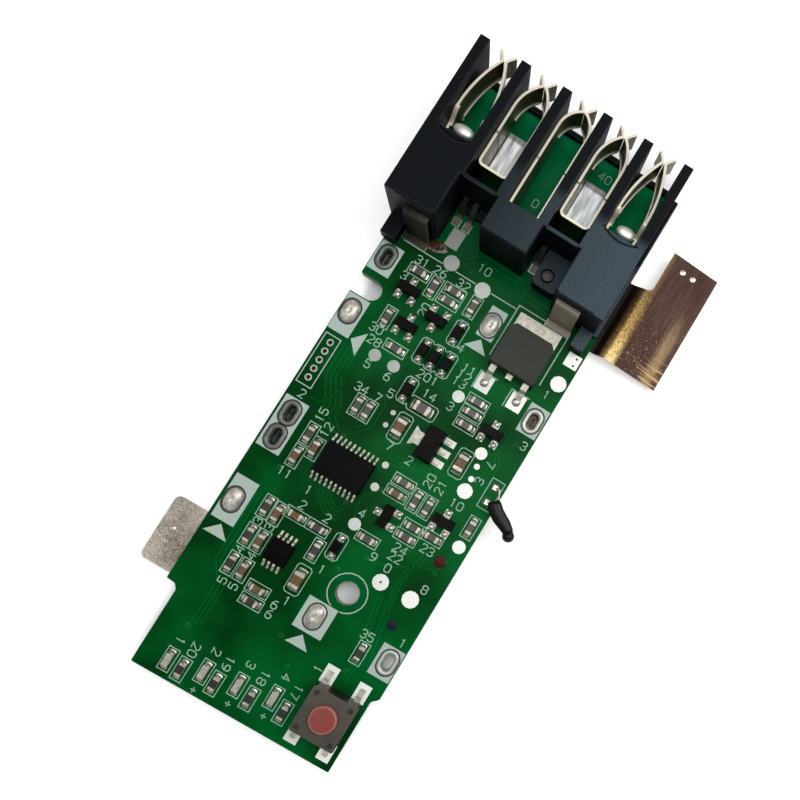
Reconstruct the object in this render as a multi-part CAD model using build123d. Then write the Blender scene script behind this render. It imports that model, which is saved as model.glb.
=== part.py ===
"""Battery management board: five-bay fork connector, weld tabs, push button, chips and passives.

Drawn with the mounting hole on the Z axis and the board's upper face at Z = 0.
X runs across the board, Y along it towards the connector, Z up from the component side.
Every solid is moved at export so that the part stands on Z = 0, centred in X and Y.
All sizes are in millimetres.
"""
import os
from math import asin, cos, pi, sin, sqrt
from build123d import *

os.makedirs("parts", exist_ok=True)

# Board
BOARD_T = 1.6            # laminate thickness
LEFT = -19.5             # left edge beside the chips
RIGHT = 10.15            # right edge
LOW_LEFT = -17.8         # left edge of the narrower button end
LOW_RIGHT = 9.35         # right edge of the button end
STEP_LEFT = -9.3         # where the left edge steps in
STEP_RIGHT = -9.4        # where the right edge steps in
REAR = -19.7             # button end
NOSE = 64.4              # end under the connector
HOLE_R = 1.5             # mounting hole
NOTCH_Y, NOTCH_W, NOTCH_END = 33.8, 2.7, -15.9
COPPER = 0.05            # height of tinned copper over the mask
INK = 0.04               # height of the white print

# Connector
CONN_X = -5.4            # centre of the five bays
PITCH = 5.7             # bay to bay
WALL = 1.3               # bay walls
BLOCK_SIDE = 0.3         # how far a block reaches past the middle of its inner wall
BAYS = 5
CONN_TOP = 8.6           # height over the board
LIP_T = 0.7              # cross bar in front of the board
LIP_GAP = 0.1
CONN_FRONT = NOSE + LIP_GAP + LIP_T
CONN_REAR = 43.5         # rear of the two outer blocks
BLOCK_FRONT = 53.4       # where the outer bays open
MID_REAR, MID_FRONT = 45.4, 49.8      # centre block
BACK_Y = 50.0            # rear wall of the second and fourth bays
BACK_T = 0.45
ROOF_T = 0.9             # roof over the closed part of a bay
FOOT_H = 1.9             # feet behind the outer blocks
PEG_R, PEG_GAP = 0.8, 0.1

# Contacts
LEAF = 0.35              # sheet thickness
FORK = 2.1               # half width over the two sides
FORK_LOW, FORK_HIGH = 1.0, 6.6        # underside and top of a fork
STEP_DOWN = 1.4          # drop of the outer forks' sides behind their beams
PINCH_GAP = 0.1          # between the beams where they come together
PINCH_Y = CONN_FRONT - 0.3
TIP_X, TIP_Y = 1.1, CONN_FRONT + 1.0  # flared tips
CURVES = [7.5, 4.0, 2.9, 4.0, 7.5]    # run of the inward curve in each bay, left to right
SPLIT_Y = PINCH_Y - 7.5  # where the underside of the sides starts to rise
FLOOR_END = PINCH_Y - 4.7             # front of the bright floor plates
TONGUE_END = PINCH_Y - 8.8            # front of the rounded roofs over the outer forks
TAIL_W = 1.1             # soldered tail
TAIL_IN = [2.8, 0.9, 0.9, 0.9, 2.8]   # tails in front of each back, left to right
LEG_W = 3.3              # wide soldered legs behind the outer blocks
STAND = 0.9              # how far tails, joints and feet reach under the board

# Tabs
TAB_T = 0.2
JOG = 1.5                # run of the bend in the right tab

# Push button
KEY_X, KEY_Y = 5.6, -13.6
KEY_SIDE = 6.0
KEY_BODY_H = 3.1
KEY_CAP_T = 0.25
BUTTON_R = 1.65
BUTTON_UP = 0.8          # button over the metal cover
TRAVEL = 0.25
SLIP = 0.15              # running clearance round the button
KEY_PITCH = 4.5          # leads side to side

UNDER = -BOARD_T         # underside of the board
REST = UNDER - STAND     # what the part stands on

# Sides given to small round outlines that repeat, so that the whole part stays light
FEW, SOME, MANY = 8, 12, 20


def box(x0, x1, y0, y1, z0, z1):
    """A plain block between two corners."""
    return Pos((x0 + x1) / 2, (y0 + y1) / 2, (z0 + z1) / 2) * Box(x1 - x0, y1 - y0, z1 - z0)


def disc(radius, sides=SOME):
    """A small round outline with flat sides."""
    return RegularPolygon(radius, int(sides))


def at(x, y, turn=0.0, z=0.0):
    """Where a component sits: centre on the board and its turn."""
    return Pos(x, y, z) * Rot(0, 0, turn)


def raised(sketch, z, height):
    """A flat outline made solid, upwards from z."""
    return extrude(Pos(0, 0, z) * sketch, amount=height)


def profile(points, width):
    """A Y-Z outline made solid across X, centred."""
    face = make_face(Polyline(*[(0, y, z) for y, z in points], close=True))
    return Pos(-width / 2, 0, 0) * extrude(face, amount=width, dir=(1, 0, 0))


def gull(reach, z_exit, width, metal):
    """A gull-wing lead that leaves a body at Y = 0 and ends in a flat foot."""
    drop = z_exit - COPPER
    knee = reach * 0.25
    toe = knee + drop * 0.35
    half = metal / 2
    return profile([(0, z_exit), (0, z_exit + metal), (knee + half, z_exit + metal),
                    (toe + half, COPPER + metal), (reach, COPPER), (toe - half, COPPER)], width)


def moulding(length, width, height, z0, draft=0.12):
    """A moulded chip package with its four sides drawn in above the parting line."""
    mid = height * 0.5
    low = loft([Pos(0, 0, z0) * Rectangle(length - draft * 2, width - draft * 2),
                Pos(0, 0, z0 + mid) * Rectangle(length, width)])
    top = loft([Pos(0, 0, z0 + mid) * Rectangle(length, width),
                Pos(0, 0, z0 + height) * Rectangle(length - draft * 2, width - draft * 2)])
    return low + top


def as_list(shape):
    """The separate solids of a shape."""
    return list(shape.solids())


nodes = {}


def keep(name, *shapes):
    """Adds solids to a node."""
    for shape in shapes:
        nodes.setdefault(name, []).extend(as_list(shape))


# Slots for the cell tabs: centre, half width, half length, filled with solder or left open
SLOTS = [(-17.9, 38.4, False), (-18.1, 30.1, True), (-2.3, 37.9, True), (8.55, 30.2, False),
         (-17.6, 15.35, False), (-17.6, 12.0, False), (-17.8, 2.8, True), (-1.9, -4.4, True),
         (8.65, -4.8, False)]
SLOT_W, SLOT_L = 1.1, 2.3          # the opening
RIM_W, RIM_L = 2.3, 3.3            # the tinned ring round it

# White printed fields under the slots: x0, x1, y0, y1
FIELDS = [(-19.4, -16.3, 36.1, 40.2), (-19.4, -16.5, 27.0, 32.3), (-3.4, -1.1, 36.0, 40.3),
          (7.2, 9.95, 28.2, 32.3), (-19.2, -16.0, 10.1, 17.3), (-19.1, -16.0, -0.1, 5.9),
          (-3.8, 0.2, -6.6, -2.4), (7.0, 10.0, -7.0, -2.8)]
# Arrow heads: tip x, tip y, length, half width, turn
ARROWS = [(-16.2, 27.2, 1.5, 1.65, 90), (-2.4, 35.7, 1.6, 1.55, 0), (-17.4, -0.45, 1.6, 1.6, 0),
          (-2.0, -7.0, 1.6, 1.55, 0)]
# Round tinned pads: x, y, radius
PADS = [(2.75, 3.2, 1.05), (7.0, 3.2, 1.1), (-3.7, 7.7, 0.8), (8.8, 11.8, 0.85), (-12.6, 27.0, 0.8),
        (-9.9, 27.0, 0.8), (-1.05, 28.0, 0.8), (5.1, 23.3, 0.8), (5.8, 18.2, 1.0), (8.9, 36.0, 1.05),
        (-5.5, 41.2, 1.05), (-10.6, 42.1, 1.05), (5.5, 21.6, 0.4), (5.7, 19.9, 0.4),
        (-4.3, 15.9, 0.45), (-4.0, 12.9, 0.55), (-6.9, 22.0, 0.35), (-6.9, 20.2, 0.35)]
HEADER_X, HEADER_Y, HEADER_PITCH, HEADER_PINS = -18.05, 20.35, 1.27, 5
HEADER_R, HEADER_PAD = 0.3, 0.95

# Two-ended chips by kind: x, y, turn from the X axis
RESISTORS = [(-12.2, -17.7, 90), (-7.9, -17.2, 90), (-3.4, -16.7, 90), (0.9, -16.2, 90),
             (5.1, -5.5, 90), (-13.9, 4.1, 90), (-13.9, 0.1, 90), (-13.9, -3.9, 90),
             (-7.3, 5.0, 0), (-9.4, -6.7, 0), (-6.1, 2.5, 90), (-1.4, 6.9, 0), (-14.2, 14.4, 90),
             (-11.1, 20.5, 90), (-9.7, 20.5, 90), (-13.4, 38.9, 0), (-10.9, 38.2, 90),
             (-8.4, 39.1, 0), (-8.4, 37.6, 0), (-5.4, 38.7, 90), (-13.8, 31.9, 90), (-10.9, 29.0, 0),
             (1.4, 28.6, 0), (1.5, 27.0, 0), (1.6, 25.3, 0), (-1.2, 15.2, 0), (1.2, 14.0, 90),
             (2.9, 14.0, 90), (8.8, 14.6, 90), (2.7, 11.0, 0), (5.3, 11.1, 0), (2.5, 9.5, 0)]
LARGE_RESISTORS = [(-4.1, 24.3, 0)]
CAPACITORS = [(-12.3, 4.0, 90), (-12.3, 0.1, 90), (-12.2, -3.9, 90), (-10.3, 5.0, 0), (-9.5, -5.0, 0),
              (-12.7, 13.2, 90), (-14.2, 11.2, 90), (-1.3, 13.5, 0)]
LARGE_CAPACITORS = [(-6.0, -1.6, 90), (-5.2, 20.8, 90), (3.6, 20.9, 90)]
LEDS = [(-14.1, -17.4, 90), (-9.7, -16.6, 90), (-5.4, -16.0, 90), (-1.0, -15.2, 90)]
SMALL, LARGE = (1.6, 0.8, 0.45), (2.0, 1.25, 0.6)
SMALL_CAP, LARGE_CAP, LED = (1.6, 0.8, 0.75), (2.0, 1.25, 1.05), (1.6, 0.8, 0.6)
END_CAP, LARGE_END = 0.3, 0.42

# Three-lead transistors: x, y, turn; the lone lead points to +Y before the turn
TRANSISTORS = [(-13.3, 36.3, 0), (-8.5, 34.8, 180), (-11.2, 32.2, 0), (4.9, 26.2, 0), (5.5, 13.5, 0),
               (-0.9, 10.5, 90)]
# Two-lead diodes along Y
DIODES = [(-5.3, 34.8), (-7.8, 30.6), (-6.1, 30.6), (-4.4, 30.6), (-6.9, 25.35), (-4.1, 4.2)]


def slot(width, length, sides=4):
    """A slot outline that runs along Y, each round end drawn with a few flat sides."""
    r = width / 2
    top = [(r * cos(i * pi / sides), (length / 2 - r) + r * sin(i * pi / sides)) for i in range(sides + 1)]
    return make_face(Polyline(*top, *[(-x, -y) for x, y in top], close=True))


def at_all(places, shape):
    """The same shape at each (x, y)."""
    return [Pos(p[0], p[1], 0) * shape for p in places]


# Circuit board: stepped outline, notch with a round end, and all its holes
outline = Polyline((LOW_LEFT, REAR), (LOW_RIGHT, REAR), (LOW_RIGHT, STEP_RIGHT - 0.5),
                   (RIGHT, STEP_RIGHT + 0.2), (RIGHT, NOSE), (LEFT, NOSE), (LEFT, STEP_LEFT + 0.1),
                   (LOW_LEFT - 0.5, STEP_LEFT), (LOW_LEFT, STEP_LEFT - 0.6), close=True)
board_face = chamfer(make_face(outline).vertices(), 0.12)
notch_cut = Pos(NOTCH_END - NOTCH_W / 2, NOTCH_Y) * Circle(NOTCH_W / 2)
notch_cut += Pos((LEFT - 1 + NOTCH_END - NOTCH_W / 2) / 2, NOTCH_Y) * Rectangle(
    NOTCH_END - NOTCH_W / 2 - LEFT + 1, NOTCH_W)
board_face -= notch_cut
board_face -= Circle(HOLE_R)
board_face -= [Pos(x, y) * slot(SLOT_W, SLOT_L) for x, y, _ in SLOTS]
header_spots = [(HEADER_X, HEADER_Y + i * HEADER_PITCH) for i in range(HEADER_PINS)]
board_face -= [Pos(x, y) * disc(HEADER_R, FEW) for x, y in header_spots]

# Connector bays, left to right
bay_x = [CONN_X + (i - (BAYS - 1) / 2) * PITCH for i in range(BAYS)]
wall_x = [CONN_X + (i - BAYS / 2) * PITCH for i in range(BAYS + 1)]
half = BAYS * PITCH / 2 + WALL / 2
OUT_L, OUT_R = CONN_X - half, CONN_X + half
web_y = [BLOCK_FRONT - 1.8, BACK_Y + 2.4, MID_FRONT - 1.4, BACK_Y + 2.4, BLOCK_FRONT - 1.8]
tail_y = [y + t for y, t in zip(web_y, TAIL_IN)]
tails = [(x + side * (FORK - LEAF / 2), y) for x, y in zip(bay_x, tail_y) for side in (-1, 1)]
pegs = [(bay_x[0], CONN_REAR + 4), (bay_x[-1], CONN_REAR + 4), (bay_x[2], MID_REAR + 1.6)]
board_face -= [Pos(x, y) * Rectangle(LEAF + 0.3, TAIL_W + 0.3) for x, y in tails]
board_face -= [Pos(x, y) * disc(PEG_R + PEG_GAP) for x, y in pegs]
keep("circuit_board", raised(board_face, UNDER, BOARD_T))

# White print: fields round the slots, arrows, the ring round the mounting hole, the long line
ink = Sketch() + [Pos((a + b) / 2, (c + d) / 2) * Rectangle(b - a, d - c) for a, b, c, d in FIELDS]
ink -= [Pos(x, y) * slot(RIM_W, RIM_L) for x, y, _ in SLOTS]
ring = disc(2.56, MANY) - disc(2.42, MANY)
ring -= Pos(-1.8, -4.5) * Rectangle(4.0 + 0.3, 4.2 + 0.3)
arrow = [Pos(x, y) * Rot(0, 0, turn) * make_face(Polyline((0, 0), (-w, -n), (w, -n), close=True))
         for x, y, n, w, turn in ARROWS]
line = Pos(-8.9, 41.45) * Rectangle(16.6, 0.14)
line -= [Pos(x, y) * disc(r + 0.12) for x, y, r in PADS[10:12]]
header_frame = Pos(-18.1, 22.8) * (Rectangle(2.2, 7.2) - Rectangle(1.94, 6.94))
keep("silkscreen", *[raised(s, 0, INK) for s in (ink, ring, *arrow, line, header_frame)])

# Tinned pads
keep("test_pads", *[raised(Pos(x, y) * disc(r, SOME if r > 0.5 else FEW), 0, COPPER) for x, y, r in PADS])
keep("test_pads", raised(Pos(-11.8, 45.0) * Rectangle(1.8, 2.6), 0, COPPER))
corner_pad = Pos(8.95, 39.5) * Rectangle(1.9, 1.9)
corner_pad -= [Pos(9.3, y) * disc(0.16, FEW) for y in (39.0, 40.0)]
keep("test_pads", raised(corner_pad, 0, COPPER))
header_pad = disc(HEADER_PAD / 2, FEW) - disc(HEADER_R, FEW)
keep("header_pads", *[raised(Pos(x, y) * header_pad, 0, COPPER) for x, y in header_spots])

# Plated slots: a tinned ring on each face, and solder domes in those that hold a tab
rim = slot(RIM_W, RIM_L) - slot(SLOT_W, SLOT_L)
shared = Pos(-17.6, (15.35 + 12.0) / 2) * Rectangle(RIM_W, 0.12)
for x, y, full in SLOTS:
    piece = Pos(x, y) * rim
    if x == -17.6:
        piece -= shared
        piece &= Pos(x, y) * Rectangle(RIM_W + 1, 2 * abs(y - (15.35 + 12.0) / 2))
    keep("slot_rims", raised(piece, 0, 0.12))
dome_top = raised(slot(RIM_W - 0.35, RIM_L - 0.35), 0.12, 0.5)
dome_top = chamfer(dome_top.edges().group_by(Axis.Z)[-1], 0.35, 0.6)
dome_low = raised(slot(RIM_W - 0.35, RIM_L - 0.35), REST, STAND)
dome_low = chamfer(dome_low.edges().group_by(Axis.Z)[0], 0.5, 0.35)
plug = raised(slot(SLOT_W, SLOT_L), UNDER, BOARD_T + 0.12)
for x, y, full in SLOTS:
    if full:
        keep("slot_solder", Pos(x, y) * (dome_top + plug + dome_low))

# Connector housing: walls, blocks, rear walls, front bar, feet and locating pegs in one moulding
housing = box(OUT_L, OUT_R, NOSE + LIP_GAP, CONN_FRONT, REST, 0.6)
for i, x in enumerate(wall_x):
    start = CONN_REAR if i in (0, BAYS) else BACK_Y - BACK_T
    housing += box(x - WALL / 2, x + WALL / 2, start, CONN_FRONT, 0, CONN_TOP)
cavity_h = CONN_TOP - ROOF_T
for i in (0, BAYS - 1):
    a = wall_x[i] - (WALL / 2 if i == 0 else BLOCK_SIDE)
    b = wall_x[i + 1] + (BLOCK_SIDE if i == 0 else WALL / 2)
    block = box(a, b, CONN_REAR, BLOCK_FRONT, 0, CONN_TOP)
    block = chamfer(block.edges().filter_by(Axis.Z).group_by(Axis.Y)[0], 0.45)
    block -= box(wall_x[i] + WALL / 2, wall_x[i + 1] - WALL / 2, BLOCK_FRONT - 3.7, BLOCK_FRONT,
                 0, cavity_h)
    rims = block.edges().group_by(Axis.Z)[-1].filter_by(lambda e: e.center().Y < BLOCK_FRONT - 1)
    block = chamfer(rims, 0.2)
    scoop = raised(Pos(bay_x[i], BLOCK_FRONT + 2.6) * disc(3.6, 36), CONN_TOP - 0.35, 1)
    scoop &= box(a, b, BLOCK_FRONT - 2, BLOCK_FRONT, 0, CONN_TOP + 2)
    housing += block
    housing -= scoop
mid = box(wall_x[2] - BLOCK_SIDE, wall_x[3] + BLOCK_SIDE, MID_REAR, MID_FRONT, 0, CONN_TOP)
mid = chamfer(mid.edges().group_by(Axis.Z)[-1].filter_by(lambda e: e.center().Y < MID_FRONT - 1), 0.2)
mid -= box(wall_x[2] + WALL / 2, wall_x[3] - WALL / 2, web_y[2] - 0.5, MID_FRONT, 0, cavity_h)
housing += mid
for i in (1, 3):
    a, b = wall_x[i] + WALL / 2, wall_x[i + 1] - WALL / 2
    housing += box(a, b, BACK_Y - BACK_T, BACK_Y, 0, CONN_TOP - 0.5)
    housing += box(a, b, BACK_Y - 1.6, BACK_Y, 0, 1.1)
ledge = box(wall_x[3] + WALL / 2 + 1.15, wall_x[4] - BLOCK_SIDE, BACK_Y - 5.2, BACK_Y, 0, 2.4)
ledge = fillet(ledge.edges().filter_by(Axis.Z).group_by(Axis.Y)[0], 0.8)
ledge -= raised(Pos(0.75, BACK_Y - 3.5) * (disc(0.95) - disc(0.7)), 1.7, 2)
housing += ledge
housing += box(OUT_L + 0.5, OUT_L + 2.5, CONN_REAR - 3.1, CONN_REAR + 0.5, 0, FOOT_H)
housing += box(OUT_R - 1.9, OUT_R - 0.1, CONN_REAR - 2.8, CONN_REAR + 0.5, 0, FOOT_H)
for x, y in pegs:
    housing += raised(Pos(x, y) * disc(PEG_R), UNDER - 0.6, BOARD_T + 0.8)
# Sockets in the rear faces that hold the wide legs
leg_x = [bay_x[0] + 0.85, bay_x[-1] - 0.85]
for x in leg_x:
    housing -= box(x - LEG_W / 2, x + LEG_W / 2, CONN_REAR - 0.1, CONN_REAR + 0.9, 6.3, 6.3 + LEAF)
keep("connector_housing", housing)

# Fork contacts: a bent back, two tall sides that curve together and flare at the tips, two tails
lane = FORK - LEAF / 2


def beam(run):
    """The beam to the right of a bay: straight, then an arc inwards over a run, then the flared tip."""
    across, bend = lane - PINCH_GAP / 2 - LEAF / 2, PINCH_Y - run
    radius = (across ** 2 + run ** 2) / (2 * across)
    turn, few = asin(run / radius), 6
    arc = [(lane - radius, bend, turn * i / few) for i in range(few + 1)]
    outer = [(x + (radius + LEAF / 2) * cos(a), y + radius * sin(a)) for x, y, a in arc]
    inner = [(x + (radius - LEAF / 2) * cos(a), y + radius * sin(a)) for x, y, a in arc]
    start = SPLIT_Y - 0.4
    rim = [(outer[0][0], start), *outer, (TIP_X + LEAF / 2, TIP_Y), (TIP_X - LEAF / 2, TIP_Y),
           *reversed(inner), (inner[0][0], start)]
    return raised(make_face(Polyline(*[p for i, p in enumerate(rim) if p != rim[i - 1]], close=True)),
                  FORK_LOW, FORK_HIGH - FORK_LOW)


def fork(i):
    """The whole contact of one bay, centred on it."""
    web, outer_bay = web_y[i], i in (0, BAYS - 1)
    length = SPLIT_Y - web
    outer = Pos(0, web + length / 2) * Rectangle(2 * FORK, length)
    outer = chamfer(outer.vertices().group_by(Axis.Y)[0], 0.6)
    inner = Pos(0, web + LEAF + length / 2) * Rectangle(2 * (FORK - LEAF), length)
    inner = chamfer(inner.vertices().group_by(Axis.Y)[0], 0.45)
    contact = raised(outer - inner, FORK_LOW, FORK_HIGH - FORK_LOW)
    right = beam(CURVES[i])
    contact += [right, mirror(right, Plane.YZ)]
    rise = profile([(SPLIT_Y, FORK_LOW - 2), (SPLIT_Y, FORK_LOW), (SPLIT_Y + 0.7, FORK_LOW + 1.1),
                    (TIP_Y + 1, FORK_LOW + 2.2), (TIP_Y + 1, FORK_LOW - 2)], 2 * FORK + 1)
    contact -= rise
    for side in (-1, 1):
        tail = Pos(side * lane, tail_y[i]) * Rectangle(LEAF, TAIL_W)
        contact += raised(tail, REST + 0.25, FORK_LOW + 0.3 - REST)
    if outer_bay:
        contact -= box(-FORK - 1, FORK + 1, web - 1, SPLIT_Y - 0.5, FORK_HIGH - STEP_DOWN, FORK_HIGH + 1)
        tongue = Pos(0.15, (web + TONGUE_END) / 2) * Rectangle(1.9, TONGUE_END - web - LEAF)
        tongue = chamfer(tongue.vertices().group_by(Axis.Y)[-1], 0.5)
        contact += raised(tongue, FORK_HIGH - STEP_DOWN - LEAF, LEAF)
    elif i != BAYS // 2:
        contact += box(-lane, lane, web + LEAF / 2, FLOOR_END, FORK_LOW, FORK_LOW + LEAF)
    return contact


for i, x in enumerate(bay_x):
    keep(f"contact_{i + 1}", Pos(x, 0, 0) * fork(i))

# Solder round every tail, under the board, level with the other joints
joint = raised(slot(LEAF + 1.1, TAIL_W + 1.2, 3), REST, STAND)
joint = chamfer(joint.edges().group_by(Axis.Z)[0], 0.45, 0.3)
joint -= raised(Rectangle(LEAF, TAIL_W), REST + 0.25, STAND)
keep("tail_solder", *at_all(tails, joint))

# Wide legs of the outer contacts: out of the block, down its rear face, foot on the board
leg = profile([(CONN_REAR + y, z) for y, z in (
    (0.8, 6.3), (0.8, 6.3 + LEAF), (-0.55, 6.3 + LEAF), (-0.75, 6.3), (-1.05, COPPER + LEAF),
    (-1.85, COPPER + LEAF), (-1.85, COPPER), (-0.8, COPPER), (-0.7, 0.3), (-0.4, 6.3))], LEG_W)
keep("outer_solder_legs", *[Pos(x, 0, 0) * leg for x in leg_x])
leg_pad = Pos(0, CONN_REAR - 1.4) * Rectangle(LEG_W + 0.2, 1.0)
keep("part_pads", *[raised(Pos(x, 0) * leg_pad, 0, COPPER) for x in leg_x])
# Narrow legs behind the rear walls of the second and fourth bays
thin = profile([(BACK_Y - y, z) for y, z in (
    (BACK_T, 2.2), (BACK_T, 2.2 + LEAF), (0.8, 2.2 + LEAF), (2.5, COPPER + LEAF),
    (3.4, COPPER + LEAF), (3.4, COPPER), (2.4, COPPER), (0.9, 2.0))], 0.7)
thin_x = [wall_x[1] + WALL / 2 + 0.5, wall_x[1] + WALL / 2 + 2.0, wall_x[3] + WALL / 2 + 0.5]

# Feet of the narrow legs clear the ledge under the rear wall
for x in thin_x:
    housing -= box(x - 0.45, x + 0.45, BACK_Y - 1.7, BACK_Y - BACK_T, 0, 3.0)
nodes["connector_housing"] = as_list(housing)
keep("signal_solder_legs", *[Pos(x, 0, 0) * thin for x in thin_x])
keep("part_pads", *[raised(Pos(x, BACK_Y - 3.0) * Rectangle(1.1, 1.2), 0, COPPER) for x in thin_x])

# Weld tabs. The left one is flat under the board; the right one jogs up beside the connector
TAB_IN, TAB_OUT = -16.4, -24.2
TAB_Y0, TAB_Y1 = -8.9, -0.2
left = Pos((TAB_IN + TAB_OUT) / 2, (TAB_Y0 + TAB_Y1) / 2) * Rectangle(TAB_IN - TAB_OUT, TAB_Y1 - TAB_Y0)
left = fillet(left.vertices().group_by(Axis.X)[0], 0.8)
left_tab = raised(left, UNDER - TAB_T, TAB_T)
dimple = raised(disc(0.42, FEW), -0.08, 1)
left_tab -= [Pos(x, y, UNDER) * dimple for x, y in ((-22.0, -3.9), (-21.9, -5.6))]
keep("left_weld_tab", left_tab)

WING_X, WING_OUT = 13.1, 20.0
WING_Y0, WING_Y1, NECK_Y = 42.2, 59.2, 52.9
RISE, FALL = 1.0, 0.9
section = [(7.6, UNDER), (10.7, UNDER), (10.7 + JOG, UNDER + RISE), (WING_OUT, UNDER + RISE - FALL)]
strip_face = make_face(Polyline(*[(x, 0, z) for x, z in section],
                                *[(x, 0, z - TAB_T) for x, z in reversed(section)], close=True))
right_tab = Pos(0, WING_Y1, 0) * extrude(strip_face, amount=WING_Y1 - WING_Y0, dir=(0, -1, 0))
bends = [e for e in right_tab.edges().filter_by(Axis.Y) if 10 < e.center().X < 13]
right_tab = fillet(bends, 0.6)
neck = box(6, WING_X, NECK_Y, WING_Y1 + 1, -4, 2)
neck = fillet(neck.edges().filter_by(Axis.Z).group_by(Axis.X)[-1].group_by(Axis.Y)[0], 0.9)
right_tab -= neck
fall = FALL / (WING_OUT - 10.7 - JOG)
right_tab -= [Pos(x, WING_Y1 - 1.6, UNDER + RISE - fall * (x - 10.7 - JOG)) * dimple
              for x in (WING_OUT - 4.7, WING_OUT - 3.1)]
keep("right_weld_tab", right_tab)

# Push button: base with a well, spring dome, sliding button, metal cover, four leads
seat_z = 0.1
top_z = KEY_BODY_H - KEY_CAP_T
well_r = BUTTON_R + 0.45
base = box(-KEY_SIDE / 2, KEY_SIDE / 2, -KEY_SIDE / 2, KEY_SIDE / 2, seat_z, top_z)
base = chamfer(base.edges().filter_by(Axis.Z), 0.35)
base -= Pos(0, 0, 1.2) * Cylinder(well_r, 4, align=(Align.CENTER, Align.CENTER, Align.MIN))
rivets = [Pos(x, y) * disc(0.32, FEW) for x in (-2.3, 2.3) for y in (-2.3, 2.3)]
base += [raised(r, top_z - 0.01, KEY_CAP_T + 0.16) for r in rivets]
place = at(KEY_X, KEY_Y)
keep("switch_base", place * base)
cover = chamfer(Rectangle(KEY_SIDE, KEY_SIDE).vertices(), 0.2) - Circle(BUTTON_R + SLIP)
cover -= rivets
keep("switch_cover", place * raised(cover, top_z, KEY_CAP_T))
dome = raised(disc(well_r - 0.1, MANY), 1.2, 0.12)
dome += loft([Pos(0, 0, 1.32) * disc(1.2, MANY), Pos(0, 0, 1.45) * disc(0.8, MANY)], ruled=True)
keep("switch_dome", place * dome)
flange_top = top_z - 0.2
button = raised(disc(well_r - SLIP, MANY), flange_top - 0.55, 0.55)
button += raised(disc(BUTTON_R, 2 * MANY), flange_top - 0.05, KEY_BODY_H + BUTTON_UP - flange_top + 0.05)
button = chamfer(button.edges().group_by(Axis.Z)[-1], 0.15)
nub_low = 1.45 + TRAVEL + 0.08
button += raised(disc(0.6), nub_low, flange_top - 0.5 - nub_low)
keep("switch_button", place * button)
key_lead = profile([(KEY_SIDE / 2, 0.5), (KEY_SIDE / 2, 0.7), (3.35, 0.7), (3.65, COPPER + 0.2),
                    (4.6, COPPER + 0.2), (4.6, COPPER), (3.5, COPPER), (3.25, 0.5)], 0.7)
key_pad = raised(Pos(0, 4.05) * Rectangle(1.7, 2.4), 0, COPPER)
for turn in (0, 180):
    for x in (-KEY_PITCH / 2, KEY_PITCH / 2):
        keep("switch_leads", at(KEY_X, KEY_Y, turn) * Pos(x, 0, 0) * key_lead)
        keep("part_pads", at(KEY_X, KEY_Y, turn) * Pos(x, 0, 0) * key_pad)

# Power transistor: body with cut corners over a metal tab, two leads and a cropped third
PT_X, PT_Y, PT_W, PT_L, PT_PITCH = 3.15, 36.6, 6.5, 6.0, 4.7
slab = raised(Rectangle(PT_W - 0.9, 6.3), COPPER, 0.5)
pt_face = chamfer(Rectangle(PT_W, PT_L).vertices().group_by(Axis.Y)[-1], 0.7)
pt_top = chamfer(Rectangle(PT_W - 0.3, PT_L - 0.3).vertices().group_by(Axis.Y)[-1], 0.6)
pt_body = loft([Pos(0, 0, 0.1) * pt_face, Pos(0, 0, 1.0) * pt_face])
pt_body += loft([Pos(0, 0, 1.0) * pt_face, Pos(0, 0, 2.3) * pt_top])
pt_body -= Pos(0, 1.45, 0) * slab
keep("power_transistor_body", at(PT_X, PT_Y) * pt_body)
keep("power_transistor_tab", at(PT_X, PT_Y) * Pos(0, 1.45, 0) * slab)
pt_lead = Pos(0, -PT_L / 2, 0) * Rot(0, 0, 180) * gull(2.7, 0.85, 0.8, 0.45)
stub = box(-0.4, 0.4, -PT_L / 2 - 0.7, -PT_L / 2, 0.85, 1.3)
for x in (-PT_PITCH / 2, PT_PITCH / 2):
    keep("power_transistor_leads", at(PT_X + x, PT_Y) * pt_lead)
    keep("part_pads", raised(Pos(PT_X + x, 31.15) * Rectangle(2.0, 2.3), 0, COPPER))
keep("power_transistor_leads", at(PT_X, PT_Y) * stub)
keep("part_pads", raised(Pos(PT_X, 38.1) * Rectangle(6.1, 6.8), 0, COPPER))


def chip_with_rows(name, x, y, length, width, height, pins, pitch, reach, lead_w):
    """A moulded chip with a row of gull-wing leads on each long side."""
    body = moulding(length, width, height, 0.12)
    keep(name + "_body", at(x, y) * body)
    lead = Pos(0, width / 2, 0) * gull(reach, 0.12 + height / 2 - 0.07, lead_w, 0.14)
    for turn in (0, 180):
        for i in range(pins):
            spot = at(x, y, turn) * Pos((i - (pins - 1) / 2) * pitch, 0, 0)
            keep(name + "_leads", spot * lead)


chip_with_rows("controller", -8.4, 13.0, 6.5, 4.4, 0.95, 10, 0.65, 1.0, 0.24)
chip_with_rows("monitor", -9.65, 0.15, 3.0, 3.0, 0.85, 4, 0.65, 0.95, 0.3)

# Voltage regulator: three leads to the right, its wide tab to the left
REG_X, REG_Y = -0.85, 20.9
reg = at(REG_X, REG_Y, -90)
reg_body = moulding(4.5, 2.5, 1.45, 0.1, 0.2)
reg_tab = raised(Pos(0, -1.45) * Rectangle(1.7, 1.7), COPPER, 0.4)
keep("regulator_body", reg * (reg_body - reg_tab))
keep("regulator_leads", reg * reg_tab)
reg_lead = raised(Pos(0, 1.25 + 0.45) * Rectangle(0.48, 0.9), COPPER, 0.38)
for x in (-1.5, 0, 1.5):
    keep("regulator_leads", reg * Pos(x, 0, 0) * reg_lead)
    keep("part_pads", reg * raised(Pos(x, 1.95) * Rectangle(0.9, 1.5), 0, COPPER))
keep("part_pads", reg * raised(Pos(0, -1.7) * Trapezoid(2.6, 1.9, 60), 0, COPPER))

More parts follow.
